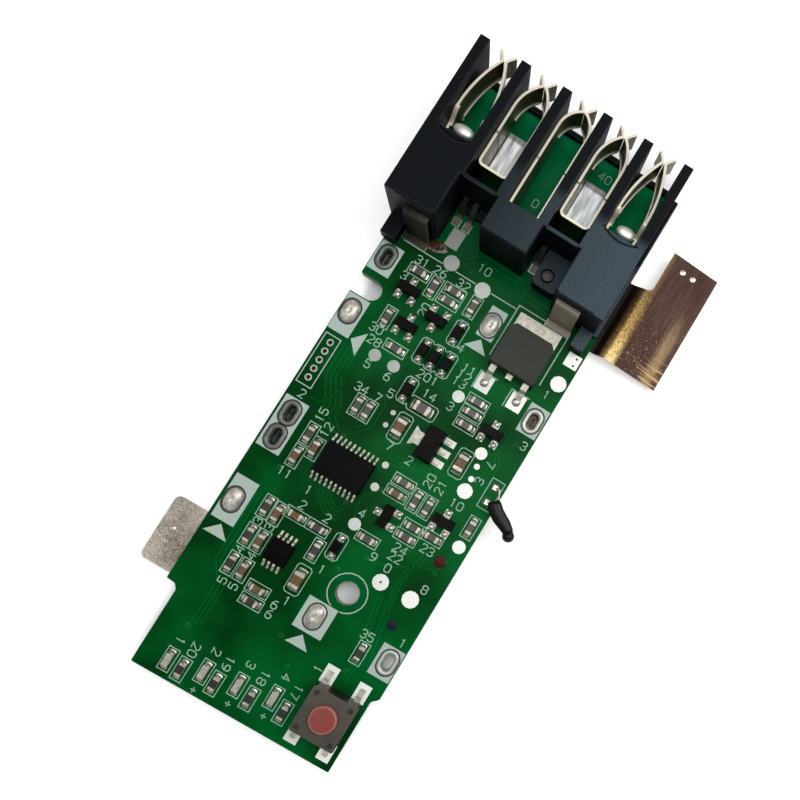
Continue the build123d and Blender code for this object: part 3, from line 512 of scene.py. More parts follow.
def red_button_pale_rim():
    """Red plastic whose tone turns paler between 1.38 and 1.62 mm from the button's axis."""
    mat = moulded("red_plastic_pale_rim", "#7c2d23", "#933d33", 0.45, 0.2, 0.02, IOR=1.49)
    shader, node, mm = tools(mat)
    x, y = BUTTON_XY - DRAWING_ORIGIN[:2]
    centred = node("Mapping", {"Vector": mm, "Location": (-x, -y, 0), "Scale": (1, 1, 0)})
    rim = node("MapRange", (node("VectorMath", (centred,), "Value", operation="LENGTH"), 1.38, 1.62))
    red = shader.inputs["Base Color"].links[0].from_socket
    fill(shader, {"Base Color": node("Mix", {0: rim, 6: red, 7: "#ad7668"}, **COLOUR)})
    return mat


finishes["red"] = red_button_pale_rim()
finishes["cover"] = nickel_strip("dull_stamped_steel", "#332f29", "#5c564d", 0.35, 0.45, 0.02, 0.6)
print("button finishes ready")

# %% [markdown]
# ### Two tones by height
# A chip resistor is a white ceramic plate with a dark glassy coat on top. A thin soldered leg has gone
# dark above and stays paler at its foot. In both the tone follows the height over the board, so they
# look right from the side too.

# %% Resistors and thin legs
BOARD_FACE = -DRAWING_ORIGIN[2]      # height of the component side over the floor


def two_tone(name, low_colour, top_colour, height, roughness):
    """One tone up to a height over the board in mm, another above it, over a fine grain."""
    mat, shader, node, mm = start(name, top_colour, roughness, IOR=1.55)
    border = BOARD_FACE + height
    over = node("MapRange", (node("SeparateXYZ", (mm,), "Z"), border - 0.02, border + 0.02))
    grain = node("TexNoise", {"Vector": mm, "Scale": 6.0, "Detail": 3.0})
    fill(shader, {
        "Base Color": node("Mix", {0: over, 6: low_colour, 7: top_colour}, **COLOUR),
        "Normal": node("Bump", {"Height": grain, "Distance": 0.03 * MM, "Strength": 0.4})})
    return mat


finishes["leg"] = two_tone("tarnished_leg_sheet", "#6e6653", "#1b1710", 0.75, 0.42)
finishes["resistor"] = two_tone("coated_chip_resistor", "#b8b5a8", "#231a15", 0.36, 0.3)
print("two-tone finishes ready")

# %% Finishes on the CAD nodes
NODES_OF_FINISH = {
    "mask": "circuit_board", "ink": "silkscreen", "pad_tin": "test_pads part_pads",
    "tin": "header_pads slot_rims", "solder": "slot_solder tail_solder chip_solder probe_solder",
    "nylon": "connector_housing", "outer_leg": "outer_solder_legs", "leg": "signal_solder_legs",
    "left_nickel": "left_weld_tab", "right_nickel": "right_weld_tab", "switch_black": "switch_base",
    "cover": "switch_cover", "dome": "switch_dome", "red": "switch_button",
    "grey_epoxy": "power_transistor_body", "resistor": "resistor_bodies",
    "capacitor": "capacitor_bodies", "led": "led_bodies", "sleeve": "probe_sleeve probe_bead",
    "spring": "contact_1 contact_2 contact_3 contact_4 contact_5",
    "epoxy": "controller_body monitor_body regulator_body small_transistor_bodies diode_bodies",
    "bright_tin": "probe_wires switch_leads power_transistor_tab power_transistor_leads "
                  "controller_leads monitor_leads regulator_leads small_transistor_leads diode_leads "
                  "resistor_ends capacitor_ends led_ends"}
bare = set(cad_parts)
for finish, names in NODES_OF_FINISH.items():
    for name in names.split():
        node_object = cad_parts[name]
        if not node_object.material_slots:
            node_object.data.materials.append(None)
        for place in node_object.material_slots:
            place.material = finishes[finish]
        bare.remove(name)
print("nodes without a finish:", sorted(bare))

# %% [markdown]
# ## Plated slots
# The long holes take the tabs of the cells. Each has a bulging tinned ring, and the plating runs on
# down the wall of the hole to a ring below. Around the ring the mask stops short, and the thin dark
# line in that gap is painted shade. Where a tab is already soldered in, the slot is filled by a smooth
# oval heap, with a dimple where the solder shrank. Three open slots on the left hold a thin dark skin
# lower down, painted shade of the dark under the board, and the open slot at (8.55, 30.2) a brown one.

# %% Rings and dark margins
BOARD = 1.6                                     # thickness of the laminate
SLOT_WIDE, SLOT_LONG = 2.3, 3.3                 # outer edge of a tinned ring
SLOTS = [(-17.9, 38.4, False), (-18.1, 30.1, True), (-2.3, 37.9, True), (8.55, 30.2, False),
         (-17.6, 15.35, False), (-17.6, 12.0, False), (-17.8, 2.8, True), (-1.9, -4.4, True),
         (8.65, -4.8, False)]                   # x, y and whether it is filled
ring_section = [(0.02, 0.0), (0.05, 0.06), (0.18, 0.11), (0.36, 0.10), (0.52, 0.03), (0.60, -0.10),
                (0.60, -1.50), (0.52, -1.63), (0.36, -1.68), (0.18, -1.68), (0.05, -1.64), (0.02, -1.6)]
rings = [placed(carried_round(ring_section, SLOT_WIDE, SLOT_LONG), x, y) for x, y, _ in SLOTS]
slot_rings = piece("slot_rings", joined(rings), finishes["ring_tin"], smooth=True)
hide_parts("slot_rims")

# The thin dark line round each ring is painted shade in the gap of the mask.
gap = stadium(SLOT_WIDE + 0.12, SLOT_LONG + 0.12)
margins = [placed(ribbon(gap, 0.19, 0.046, closed=True), x, y) for x, y, _ in SLOTS]
piece("slot_margins", joined(margins), finishes["margin"])


# %% Heaps and skins
def heap_in_slot(count=36):
    """Above the board z = 0.12 + 0.42 (1 - r ^ 2.4) ^ 0.8 less a dimple of 0.13 exp(-(r / 0.24) ^ 4).

    A plug half as wide goes through it, and 0.9 (1 - r ^ 2) ^ 0.5 hangs below it. r is the part of
    the way out to an oval.
    """
    r = np.sin(np.linspace(0, np.pi / 2, 16))[1:]
    dome = 0.12 + 0.42 * (1 - r ** 2.4).clip(0) ** 0.8 - 0.13 * np.exp(-(r / 0.24) ** 4)
    low_r = np.sin(np.linspace(0, np.pi / 2, 8))[:0:-1]
    drop = -BOARD - 0.9 * (1 - low_r ** 2).clip(0) ** 0.5
    rows = np.vstack([np.column_stack([r, dome]), [(0.50, 0.10), (0.50, 0.02 - BOARD)],
                      np.column_stack([low_r, drop])])
    rings = oval_rings(rows[:, 0], rows[:, 1], 1.95, 2.95, 0.8, count)
    last = len(rings) - count
    faces = grid_faces(len(rows), count, False, True)[:, ::-1].tolist()
    faces += [[len(rings), i, (i + 1) % count] for i in range(count)]
    faces += [[len(rings) + 1, last + (i + 1) % count, last + i] for i in range(count)]
    return np.vstack([rings, [[0, 0, 0.41], [0, 0, -BOARD - 0.9]]]), faces


heaps = [placed(heap_in_slot(), x, y) for x, y, full in SLOTS if full]
slot_heaps = piece("slot_heaps", joined(heaps), finishes["slot_fill"], smooth=True)
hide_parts("slot_solder")

skin = carried_round([(0.0, -1.15), (0.3, -1.22), (0.56, -1.24), (0.56, -1.30), (0.0, -1.30)], 1.16, 2.16)
# The dark skins in the open slots on the left are painted shade of the dark under the board.
shade_skins = [placed(skin, x, y) for x, y, full in SLOTS if not full and x < 0]
piece("slot_shade_skins", joined(shade_skins), finishes["dull_skin"], smooth=True)
piece("fluxed_slot_skin", placed(skin, 8.55, 30.2), finishes["brown_skin"], smooth=True)

# %% [markdown]
# ## Tracks under the mask
# Copper tracks stand a few hundredths of a millimetre proud, and the film follows them. Each track is
# a low strip with sloped sides, drawn as a line with 45 degree bends. A bundle is one line shifted
# sideways again and again, which is how real boards are routed.

# %% Tracks
TOP_ROUTES = [      # how many lines, their pitch in mm, and the first line
    (4, -0.62, [(-14.6, 26.4), (-14.6, 22.3), (-12.8, 19.2), (-12.8, 17.8), (-11.3, 16.6)]),
    (2, -0.6, [(-9.0, 26.0), (-9.0, 23.4), (-8.2, 22.2), (-8.2, 19.0), (-9.4, 17.6)]),
    (3, 0.55, [(-4.6, 16.4), (-2.9, 16.4), (-1.5, 17.2), (1.2, 17.2)]),
    (4, 0.5, [(-9.5, 9.5), (-9.5, 8.4), (-7.6, 6.9), (-5.9, 6.9)]),
    (2, 0.55, [(3.3, 1.9), (5.1, -7.6), (4.9, -9.4)]),
    (2, 0.5, [(5.6, 8.7), (4.6, 6.0), (4.6, 3.0), (6.2, -6.6)]),
    (1, 0.5, [(-3.7, 6.9), (-4.6, 9.6), (-4.6, 11.4), (-3.6, 12.4)]),
    (1, 0.5, [(0.6, 4.9), (3.0, 5.4), (5.0, 6.8), (8.0, 7.9), (8.8, 11.0)]),
    (3, 0.55, [(-15.8, 5.2), (-15.8, -4.4), (-14.2, -6.4), (-14.2, -12.2)]),
    (2, 0.5, [(-0.6, 31.8), (-2.6, 31.8), (-3.4, 32.8)]),
    (3, -0.55, [(6.9, 27.6), (6.9, 24.4), (7.8, 23.2), (7.8, 19.4)]),
    (1, 0.5, [(-16.6, 18.4), (-15.4, 18.4), (-14.0, 20.0), (-14.0, 22.4)]),
    (2, 0.7, [(-14.8, 43.0), (-9.0, 43.0), (-7.4, 44.4), (-2.4, 44.4), (-1.0, 43.0), (5.4, 43.0)]),
    (2, 0.5, [(1.6, 19.6), (0.9, 17.9)])]
UNDER_ROUTES = [
    (5, 0.9, [(-14.0, -13.0), (-14.0, 8.0), (-10.0, 12.0), (-10.0, 34.0), (-6.0, 38.0), (-6.0, 44.0)]),
    (4, 1.0, [(5.0, -8.0), (5.0, 6.0), (1.0, 10.0), (1.0, 26.0), (5.0, 30.0), (5.0, 42.0)]),
    (3, 0.9, [(-12.0, -16.0), (-4.0, -16.0), (2.0, -10.0), (2.0, -2.8)])]


def bundles(table):
    """For each entry its line moved sideways by 0, 1, 2 ... pitches, the corners kept parallel."""
    return [np.asarray(line, float) + offsets(line, False) * (k * pitch)
            for count, pitch, line in table for k in range(count)]


tracks = [ribbon(line, 0.26, 0.018, slope=0.05) for line in bundles(TOP_ROUTES)]
tracks += [ribbon(line, 0.5, -BOARD, low=-BOARD - 0.02, slope=0.06) for line in bundles(UNDER_ROUTES)]
piece("covered_tracks", joined(tracks), finishes["mask_track"])

# %% Covered vias
VIAS = [(-15.0, 26.9), (-10.6, 16.3), (-3.3, 12.9), (1.6, 17.9), (3.6, 8.2), (-6.0, 9.4), (-0.2, 4.8),
        (7.9, 7.4), (4.7, -8.2), (-14.3, -12.8), (-1.6, -11.2), (6.6, 24.0), (-3.7, 33.6), (5.8, 43.5),
        (-15.6, 43.4), (8.2, 26.6), (-2.6, 1.9), (-4.2, -8.4), (-15.2, 9.0), (0.4, 22.9), (-8.0, 42.6)]
via = mound(0.62, 0.62, 0.03, rings=4, count=12)
vias = [placed(via, x, y) for x, y in VIAS]
piece("covered_vias", joined(vias), finishes["mask_track"], smooth=True)

# %% [markdown]
# ## Printed outlines and numbers
# The legend is printed through a mesh in thin white ink. It frames each part and numbers it. The
# numbers here are plain ones, drawn with single strokes as a plotter would, so every digit is a short
# list of corners carried by the same ribbon as the frames.

# %% Frames round the parts
def frame_line(width, length, cut=0.0):
    """A closed rectangle of print, its corners cut when asked."""
    a, b, c = width / 2, length / 2, cut
    if not c:
        return [(-a, -b), (a, -b), (a, b), (-a, b)]
    return [(-a + c, -b), (a - c, -b), (a, -b + c), (a, b - c),
            (a - c, b), (-a + c, b), (-a, b - c), (-a, -b + c)]


# Centres of the parts in mm with their turn in degrees, and of the diodes, which all stand along Y.
RESISTORS = [(-12.2, -17.7, 90), (-7.9, -17.2, 90), (-3.4, -16.7, 90), (0.9, -16.2, 90),
             (5.1, -5.5, 90), (-13.9, 4.1, 90), (-13.9, 0.1, 90), (-13.9, -3.9, 90),
             (-7.3, 5.0, 0), (-9.4, -6.7, 0), (-6.1, 2.5, 90), (-1.4, 6.9, 0), (-14.2, 14.4, 90),
             (-11.1, 20.5, 90), (-9.7, 20.5, 90), (-13.4, 38.9, 0), (-10.9, 38.2, 90),
             (-8.4, 39.1, 0), (-8.4, 37.6, 0), (-5.4, 38.7, 90), (-13.8, 31.9, 90), (-10.9, 29.0, 0),
             (1.4, 28.6, 0), (1.5, 27.0, 0), (1.6, 25.3, 0), (-1.2, 15.2, 0), (1.2, 14.0, 90),
             (2.9, 14.0, 90), (8.8, 14.6, 90), (2.7, 11.0, 0), (5.3, 11.1, 0), (2.5, 9.5, 0)]
LARGE_RESISTORS = [(-4.1, 24.3, 0)]
CAPACITORS = [(-12.3, 4.0, 90), (-12.3, 0.1, 90), (-12.2, -3.9, 90), (-10.3, 5.0, 0), (-9.5, -5.0, 0),
              (-12.7, 13.2, 90), (-14.2, 11.2, 90), (-1.3, 13.5, 0)]
LARGE_CAPACITORS = [(-6.0, -1.6, 90), (-5.2, 20.8, 90), (3.6, 20.9, 90)]
LEDS = [(-14.1, -17.4, 90), (-9.7, -16.6, 90), (-5.4, -16.0, 90), (-1.0, -15.2, 90)]
TRANSISTORS = [(-13.3, 36.3, 0), (-8.5, 34.8, 180), (-11.2, 32.2, 0), (4.9, 26.2, 0), (5.5, 13.5, 0),
               (-0.9, 10.5, 90)]
DIODES = [(-5.3, 34.8), (-7.8, 30.6), (-6.1, 30.6), (-4.4, 30.6), (-6.9, 25.35), (-4.1, 4.2)]

INK_TOP, INK_WIDE = 0.03, 0.11      # height over the board and width of a printed line
framed = [(frame_line(2.95, 1.45), RESISTORS + CAPACITORS + LEDS),
          (frame_line(3.9, 1.95, 0.3), LARGE_RESISTORS + LARGE_CAPACITORS),
          (frame_line(1.7, 3.5, 0.35), [(x, y, 0) for x, y in DIODES])]
lines = [placed(ribbon(outline, INK_WIDE, INK_TOP, closed=True), x, y, turn)
         for outline, places in framed for x, y, turn in places]
lines.append(ribbon([(-0.5, 34.6), (-0.5, 42.1), (6.9, 42.1), (6.9, 34.6)], 0.16, INK_TOP))
lines += [ribbon([(a, 29.9), (a, 32.4), (b, 32.4)], 0.14, INK_TOP) for a, b in ((-0.35, 2.1), (4.2, 6.8))]
lines.append(placed(ribbon(frame_line(1.75, 4.1), INK_WIDE, INK_TOP, closed=True), 8.85, 19.45))
piece("part_frames", joined(lines), finishes["thin_ink"])

# %% Plain numbers beside the parts
STROKES = {         # strokes of each sign on a grid 4 wide and 6 high
    "0": [[(0, 1), (0, 5), (1, 6), (3, 6), (4, 5), (4, 1), (3, 0), (1, 0), (0, 1)]],
    "1": [[(0.8, 5), (2, 6), (2, 0)]],
    "2": [[(0, 5), (1, 6), (3, 6), (4, 5), (4, 4), (0, 0), (4, 0)]],
    "3": [[(0, 5), (1, 6), (3, 6), (4, 5), (4, 4), (3, 3), (1.5, 3)],
          [(3, 3), (4, 2), (4, 1), (3, 0), (1, 0), (0, 1)]],
    "4": [[(3, 0), (3, 6), (0, 2), (4.3, 2)]],
    "5": [[(4, 6), (0.3, 6), (0, 3.4), (3, 3.6), (4, 2.6), (4, 1), (3, 0), (1, 0), (0, 1)]],
    "6": [[(3.5, 6), (1.4, 5.4), (0, 3.6), (0, 1), (1, 0), (3, 0), (4, 1), (4, 2.5),
           (3, 3.4), (1, 3.4), (0, 2.4)]],
    "7": [[(0, 6), (4, 6), (1.5, 0)]],
    "8": [[(1, 3.2), (0, 4), (0, 5), (1, 6), (3, 6), (4, 5), (4, 4), (3, 3.2), (1, 3.2), (0, 2.2), (0, 1),
           (1, 0), (3, 0), (4, 1), (4, 2.2), (3, 3.2)]],
    "9": [[(0.5, 0), (2.6, 0.6), (4, 2.4), (4, 5), (3, 6), (1, 6), (0, 5), (0, 3.6),
           (1, 2.7), (3, 2.7), (4, 3.6)]],
    "+": [[(0, 3), (4, 3)], [(2, 1), (2, 5)]]}
NUMBERS = [(-13.8, 40.3, 0, "31"), (-11.2, 40.4, 0, "26"), (-14.8, 37.6, 0, "3"), (-7.9, 40.5, 0, "32"),
           (-6.6, 43.6, 0, "10"), (-10.4, 35.1, 90, "20"), (-14.2, 30.0, 0, "30"), (-13.6, 28.5, 0, "28"),
           (-12.8, 25.6, 0, "5"), (-9.9, 25.5, 0, "6"), (-5.6, 28.0, 0, "201"), (-1.7, 31.6, 0, "11"),
           (-1.8, 30.6, 0, "12"), (-1.9, 29.6, 0, "13"), (-11.8, 22.6, 0, "34"), (-9.5, 22.6, 0, "7"),
           (-8.4, 23.9, 0, "5"), (-4.2, 26.2, 0, "14"), (-1.3, 26.4, 0, "3"), (-5.1, 18.2, 0, "7"),
           (-2.1, 17.9, 0, "2"), (-4.0, 33.4, 0, "4"), (8.3, 34.0, 0, "1"), (9.2, 26.9, 0, "3"),
           (-10.7, 8.4, 0, "1"), (-10.3, 6.5, 0, "2"), (-6.9, 6.6, 0, "2"), (-3.6, 9.3, 0, "4"),
           (2.7, 7.9, 0, "24"), (2.7, 6.7, 0, "22"), (0.4, 5.4, 0, "9"), (2.6, 5.1, 0, "0"),
           (-4.2, 0.9, 0, "1"), (-5.8, -4.5, 0, "1"), (-6.8, -5.6, 0, "6"), (-6.8, -6.9, 0, "6"),
           (-13.7, -6.2, 90, "5"), (-12.2, -6.2, 90, "5"), (-13.9, -1.9, 90, "4"), (-12.3, -1.9, 90, "4"),
           (-13.9, 2.1, 90, "3"), (-12.3, 2.1, 90, "3"), (-14.1, -14.8, -90, "1"),
           (-12.1, -15.0, -90, "20"), (-9.7, -13.9, -90, "2"), (-7.8, -14.4, -90, "19"),
           (-5.4, -13.2, -90, "3"), (-3.3, -13.8, -90, "18"), (-1.0, -12.4, -90, "4"),
           (1.0, -13.3, -90, "17"), (1.8, -9.6, 90, "1"),
           (9.0, -1.9, 0, "1"), (4.8, -3.2, 0, "35"), (7.9, 5.1, 0, "8"), (-17.6, 18.2, 0, "2"),
           (-14.2, 17.2, 90, "15"), (-12.7, 15.9, 90, "12"), (-14.3, 8.8, 0, "11"), (1.4, 17.0, 90, "20"),
           (3.0, 17.0, 90, "21"), (5.8, 16.2, 0, "10"), (5.6, 9.5, 0, "23"), (6.7, 20.2, 90, "3"),
           (6.8, 22.7, -90, "7"), (-9.7, -19.1, 0, "+"), (-5.3, -18.5, 0, "+"), (-0.9, -17.7, 0, "+"),
           (-5.6, 54.5, 0, "0"), (0.3, 62.3, 0, "40")]      # x, y, turn and number
TALL, STROKE = 1.05, 0.13      # digit height and line width


def digits(text):
    """Each digit's strokes, set side by side at a pitch of 5.6 grid units and centred on the origin."""
    unit, pitch = TALL / 6, 5.6
    wide = (len(text) - 1) * pitch + 4
    made = []
    for i, sign in enumerate(text):
        for stroke in STROKES[sign]:
            xy = (np.array(stroke, float) + [i * pitch - wide / 2, -3]) * unit
            made.append(ribbon(xy, STROKE, INK_TOP))
    return made


printed = [placed(s, x, y, turn) for x, y, turn, text in NUMBERS for s in digits(text)]
piece("printed_numbers", joined(printed), finishes["thin_ink"])

# %% [markdown]
# ## Solder at the small parts
# In the oven the paste melts, climbs the end of each chip and freezes in a concave slope. The slope
# falls off steeply near the chip and runs out flat, so its height is a power of the distance left.

# %% Slopes at chip ends
def closed_patch(top, low, rows, columns):
    """A grid seen from above, a second grid as its underside, and walls between their borders."""
    n = rows * columns
    over = grid_faces(rows, columns)
    grid = np.arange(n).reshape(rows, columns)
    loop = np.concatenate([grid[0, :], grid[1:, -1], grid[-1, -2::-1], grid[-2:0:-1, 0]])
    after = np.roll(loop, -1)
    walls = np.stack([loop, after, after + n, loop + n], 1)
    return np.vstack([top, low]), np.vstack([over[:, ::-1], over + n, walls])


def fillet(width, height, reach, rows=6, columns=6):
    """Height h (1 - v) ^ 1.9 on a patch that widens outwards, lower by 0.3 u ^ 4 at its sides."""
    v, u = np.meshgrid(np.linspace(0, 1, rows), np.linspace(-1, 1, columns), indexing="ij")
    x, y = v * reach * (1 - 0.25 * u ** 2), u * width / 2 * (1 + 0.12 * v)
    z = height * (1 - v) ** 1.9 * (1 - 0.3 * u ** 4)
    top = np.stack([x, y, z], 2).reshape(-1, 3)
    return closed_patch(top, top * [1, 1, 0], rows, columns)


slopes = []
for places, length, width, height in ((RESISTORS, 1.6, 0.85, 0.36), (LARGE_RESISTORS, 2.0, 1.3, 0.45),
                                      (CAPACITORS, 1.6, 0.85, 0.52), (LARGE_CAPACITORS, 2.0, 1.3, 0.7),
                                      (LEDS, 1.6, 0.85, 0.42)):
    points, faces = fillet(width, height, 0.5)
    end = (points + [length / 2 - 0.01, 0, 0], faces)
    slopes += [placed(placed(end, 0, 0, side), x, y, turn) for side in (0, 180) for x, y, turn in places]
chip_slopes = piece("chip_solder_slopes", joined(slopes), finishes["solder"], smooth=True)
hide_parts("chip_solder")

# %% Lumps at leads
lump, big_lump = mound(0.8, 0.85, 0.26, 5, 14, low=0.03), mound(1.15, 1.2, 0.3, 5, 16, low=0.03)
feet = [placed(placed(lump, dx, dy), x, y, turn) for x, y, turn in TRANSISTORS
        for dx, dy in ((0, 1.25), (0.95, -1.25), (-0.95, -1.25))]
feet += [placed(lump, x, y + d) for x, y in DIODES for d in (-1.22, 1.22)]
feet += [placed(big_lump, 3.15 + dx, 31.2) for dx in (-2.35, 2.35)]
piece("lead_solder_lumps", joined(feet), finishes["solder"], smooth=True)

# %% [markdown]
# ## Fork contacts
# Each contact is one bent strip: a rounded back, two sides, and beams that curve together, touch and
# flare again at their tips. The strip's section, a small rectangle with eased corners, is carried
# along the beam's line, and the eased corners are what catches the light.

# %% Sections and paths of the forks
CONN_X, PITCH = -5.4, 5.7                  # middle of the connector, distance between bays
BAY_X = CONN_X + (np.arange(5) - 2) * PITCH
WEB_Y = [51.6, 52.4, 48.4, 52.4, 51.6]     # backs of the five forks
TAIL_Y = [54.4, 53.3, 49.3, 53.3, 54.4]    # their tails through the board
CURVES = [7.5, 4.0, 2.9, 4.0, 7.5]         # length of the arc that brings the beams together
LEAF = 0.35                                # thickness of the sheet
LANE, TOUCH = 2.1 - LEAF / 2, 0.05 + LEAF / 2     # middle of a side, and of a beam where it touches
LOW, HIGH = 1.0, 6.6                       # lower and upper edge of the sides
SPLIT_Y, PINCH_Y, TIP_Y = 57.4, 64.9, 66.2


def underside(y):
    """The sides' lower edge: level, a short slope up, then a slow rise to the tips."""
    return np.interp(y, [SPLIT_Y, SPLIT_Y + 0.7, TIP_Y + 1], [LOW, LOW + 1.1, LOW + 2.2])


def strip(path, thick, low, high, ease):
    """A standing strip along a line: at each point a tall rectangle whose corners are eased."""
    path = np.asarray(path, float)
    low, high = (np.broadcast_to(np.asarray(v, float), len(path)) for v in (low, high))
    a, e = thick / 2, ease
    across = np.array([-a, -a, -a + e, a - e, a, a, a - e, -a + e])
    z = np.stack([low + e, high - e, high, high, high - e, low + e, low, low], 1)
    xy = path[:, None, :] + offsets(path, False)[:, None, :] * across[None, :, None]
    points = np.concatenate([xy, z[:, :, None]], 2).reshape(-1, 3)
    n, m = len(path), len(across)
    faces = grid_faces(n, m, False, True)[:, ::-1].tolist()
    faces += [list(range(m)), list(range((n - 1) * m, n * m))[::-1]]
    return points, faces


def beam_line(run):
    """Right-hand beam: straight, an arc inwards over a run, then a flare that opens to the tip."""
    across = LANE - TOUCH
    radius = (across ** 2 + run ** 2) / (2 * across)
    a = np.linspace(0, np.arcsin(run / radius), 18)
    arc = np.stack([LANE - radius + radius * np.cos(a), PINCH_Y - run + radius * np.sin(a)], 1)
    flare = [(0.30, 65.1), (0.52, 65.42), (0.80, 65.76), (1.06, 66.08)]
    return np.vstack([[(LANE, SPLIT_Y - 0.5)], arc, flare])


def back_line(web):
    """Round the back of the fork: up one side, a quarter turn, across, a quarter turn, down."""
    r = 0.75 - LEAF / 2
    a = np.linspace(0, np.pi / 2, 7)
    right = np.stack([LANE - r + r * np.cos(a), web + LEAF / 2 + r - r * np.sin(a)], 1)
    half = np.vstack([[(LANE, SPLIT_Y - 0.3)], right])
    return np.vstack([half, (half * [-1, 1])[::-1]])


# %% The five forks
def contact(i):
    """One fork of bay i: its back, two tall beams with a rolled lower lip, shoulders and two tails.

    A shoulder of an outer fork climbs to the beam by half a cosine wave, 1.45 high and 1.9 long.
    """
    outer = i in (0, 4)
    beam = beam_line(CURVES[i])
    lip = beam - [0.16, 0]
    lip[:, 0] = lip[:, 0].clip(0.2, None)
    lip = lip[2:-3]
    parts = [strip(back_line(WEB_Y[i]), LEAF, LOW, HIGH - 1.4 if outer else HIGH, 0.03)]
    for side in (1, -1):
        line, rail = (a[::side] * [side, 1] for a in (beam, lip))
        foot = underside(rail[:, 1]) + 0.02
        parts.append(strip(line, LEAF, underside(line[:, 1]), HIGH, 0.03))
        parts.append(strip(rail, LEAF, foot, foot + 0.3, 0.05))
        if outer:
            y = np.linspace(55.2, 57.3, 12)[::side]
            top = HIGH + 0.02 - 1.45 * (0.5 + 0.5 * np.cos(np.pi * ((y - 55.2) / 1.9).clip(0, 1)))
            shoulder = np.column_stack([np.full(12, side * (LANE - 0.05)), y])
            parts.append(strip(shoulder, 0.62, top - 0.5, top, 0.12))
    for x in (-LANE, LANE):
        parts.append(strip([(x, TAIL_Y[i] - 0.55), (x, TAIL_Y[i] + 0.55)], LEAF, -2.25, 1.3, 0.03))
    points, faces = joined(parts)
    return points + [BAY_X[i], 0, 0], faces


for i in range(5):
    fork = piece(f"fork_{i + 1}", contact(i), finishes["spring"])
    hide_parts(f"contact_{i + 1}")

# %% [markdown]
# ### Bright floors
# Between the sides of two forks lies a tinned floor, folded up from the same sheet. It is not quite
# flat: shallow pleats run along it, so it mirrors the room in stripes, and its near-white base with
# grey and white streaks is a painted reflection of the bright room as well. The outer forks show only
# the rounded tip of a roof that joins their sides, curved towards the light, its near-white tin partly
# a painted highlight.

# %% Pleated floor plates
def floor_with_painted_reflection():
    """Tinned sheet that mirrors the room; its near-white base and grey to white streaks along Y about a
    millimetre apart are a painted reflection.
    """
    mat, shader, node, mm = start("tinned_floor_painted_reflection", "#f6f9f8", 0.34, Metallic=0.6)
    drawn = node("Mapping", {"Vector": mm, "Scale": (1.5, 0.25, 1.0)})
    painted_streak = node("TexNoise", {"Vector": drawn, "Scale": 1.0, "Detail": 3.0})
    tone = node("MapRange", (painted_streak, 0.35, 0.65))
    fill(shader, {
        # Grey to white streaks in the base colour: a painted reflection of the room.
        "Base Color": node("Mix", {0: tone, 6: "#aab5b6", 7: "#ffffff"}, **COLOUR),
        "Normal": node("Bump", {"Height": painted_streak, "Distance": 0.004 * MM, "Strength": 0.3})})
    return mat


def floor_plate(x0, x1, y0, y1, pleat, rows=33, columns=9):
    """z = 1.36 + pleat (1 + cos of 2.5 turns over x) (0.7 + 0.3 sin 3v), curled up by 0.1 at y0."""
    u, v = np.meshgrid(np.linspace(0, 1, rows), np.linspace(0, 1, columns), indexing="ij")
    wave = (1 + np.cos(u * 2 * np.pi * 2.5 + 0.6)) * (0.7 + 0.3 * np.sin(3 * v))
    z = 1.36 + pleat * wave + 0.1 * (1 - v) ** 4
    top = np.stack([x0 + (x1 - x0) * u, y0 + (y1 - y0) * v, z], 2).reshape(-1, 3)
    return closed_patch(top, top * [1, 1, 0] + [0, 0, 1.1], rows, columns)


plates = [floor_plate(BAY_X[i] - 1.72, BAY_X[i] + 1.72, 52.85, 60.15, 0.022) for i in (1, 3)]
piece("floor_plates", joined(plates), floor_with_painted_reflection(), smooth=True)

# %% Rounded roofs of the outer forks
# The near-white tin is partly a painted highlight, so the rounded tip reads as a bright lens.
roof_tin_painted_highlight = start("roof_tin_with_painted_highlight", "#f6f5ee", 0.3, Metallic=0.6)[0]
tongue = mound(2.7, 1.5, 0.32, 10, 36, 2.4, low=4.88)
tongues = [placed(tongue, BAY_X[i] + shift, 55.55) for i, shift in ((0, -0.1), (4, 0.45))]
piece("outer_roofs", joined(tongues), roof_tin_painted_highlight, smooth=True)

# %% [markdown]
# ## Marks of making
# Flux from hand soldering leaves thin dark pools behind the outer blocks, their dark tone partly painted
# shade where the blocks shade the board, and an inspector's pen leaves two ink dots. They are very low
# mounds, so their edges fade as the real ones do. Each weld tab shows two small bright nuggets where it
# was spot-welded, and one test pad has a pin hole, drawn as a dark dot of painted shade.

# %% Flux pools
def flux_and_painted_shade():
    """Glossy resin, green-black to brown in patches of almost a millimetre, its skin wavy; the dark pools
    are partly painted shade of the blocks.
    """
    mat, shader, node, mm = start("flux_and_painted_shade", "#5a3c1c", 0.12, IOR=1.5)
    flow = node("TexNoise", {"Vector": mm, "Scale": 1.2, "Detail": 4.0})
    tone = node("MapRange", (flow, 0.35, 0.65))
    fill(shader, {
        "Base Color": node("Mix", {0: tone, 6: "#14180b", 7: "#4d3519"}, **COLOUR),
        "Normal": node("Bump", {"Height": flow, "Distance": 0.1 * MM, "Strength": 0.6})})
    return mat


# Pools behind the blocks: flux, and painted shade where the blocks shade the board.
FLUX_AND_SHADE_POOLS = [(-13.4, 42.9, 3.4, 1.7, 12), (-15.2, 42.6, 2.2, 1.2, -8),
         (2.3, 45.6, 1.4, 1.0, 20), (8.6, 42.4, 1.3, 1.5, 0)]      # x, y, width, length and turn
pools = [placed(mound(wide, long, 0.09, 6, 24, 3.0), x, y, turn) for x, y, wide, long, turn in FLUX_AND_SHADE_POOLS]
piece("flux_and_shade_pools", joined(pools), flux_and_painted_shade(), smooth=True)

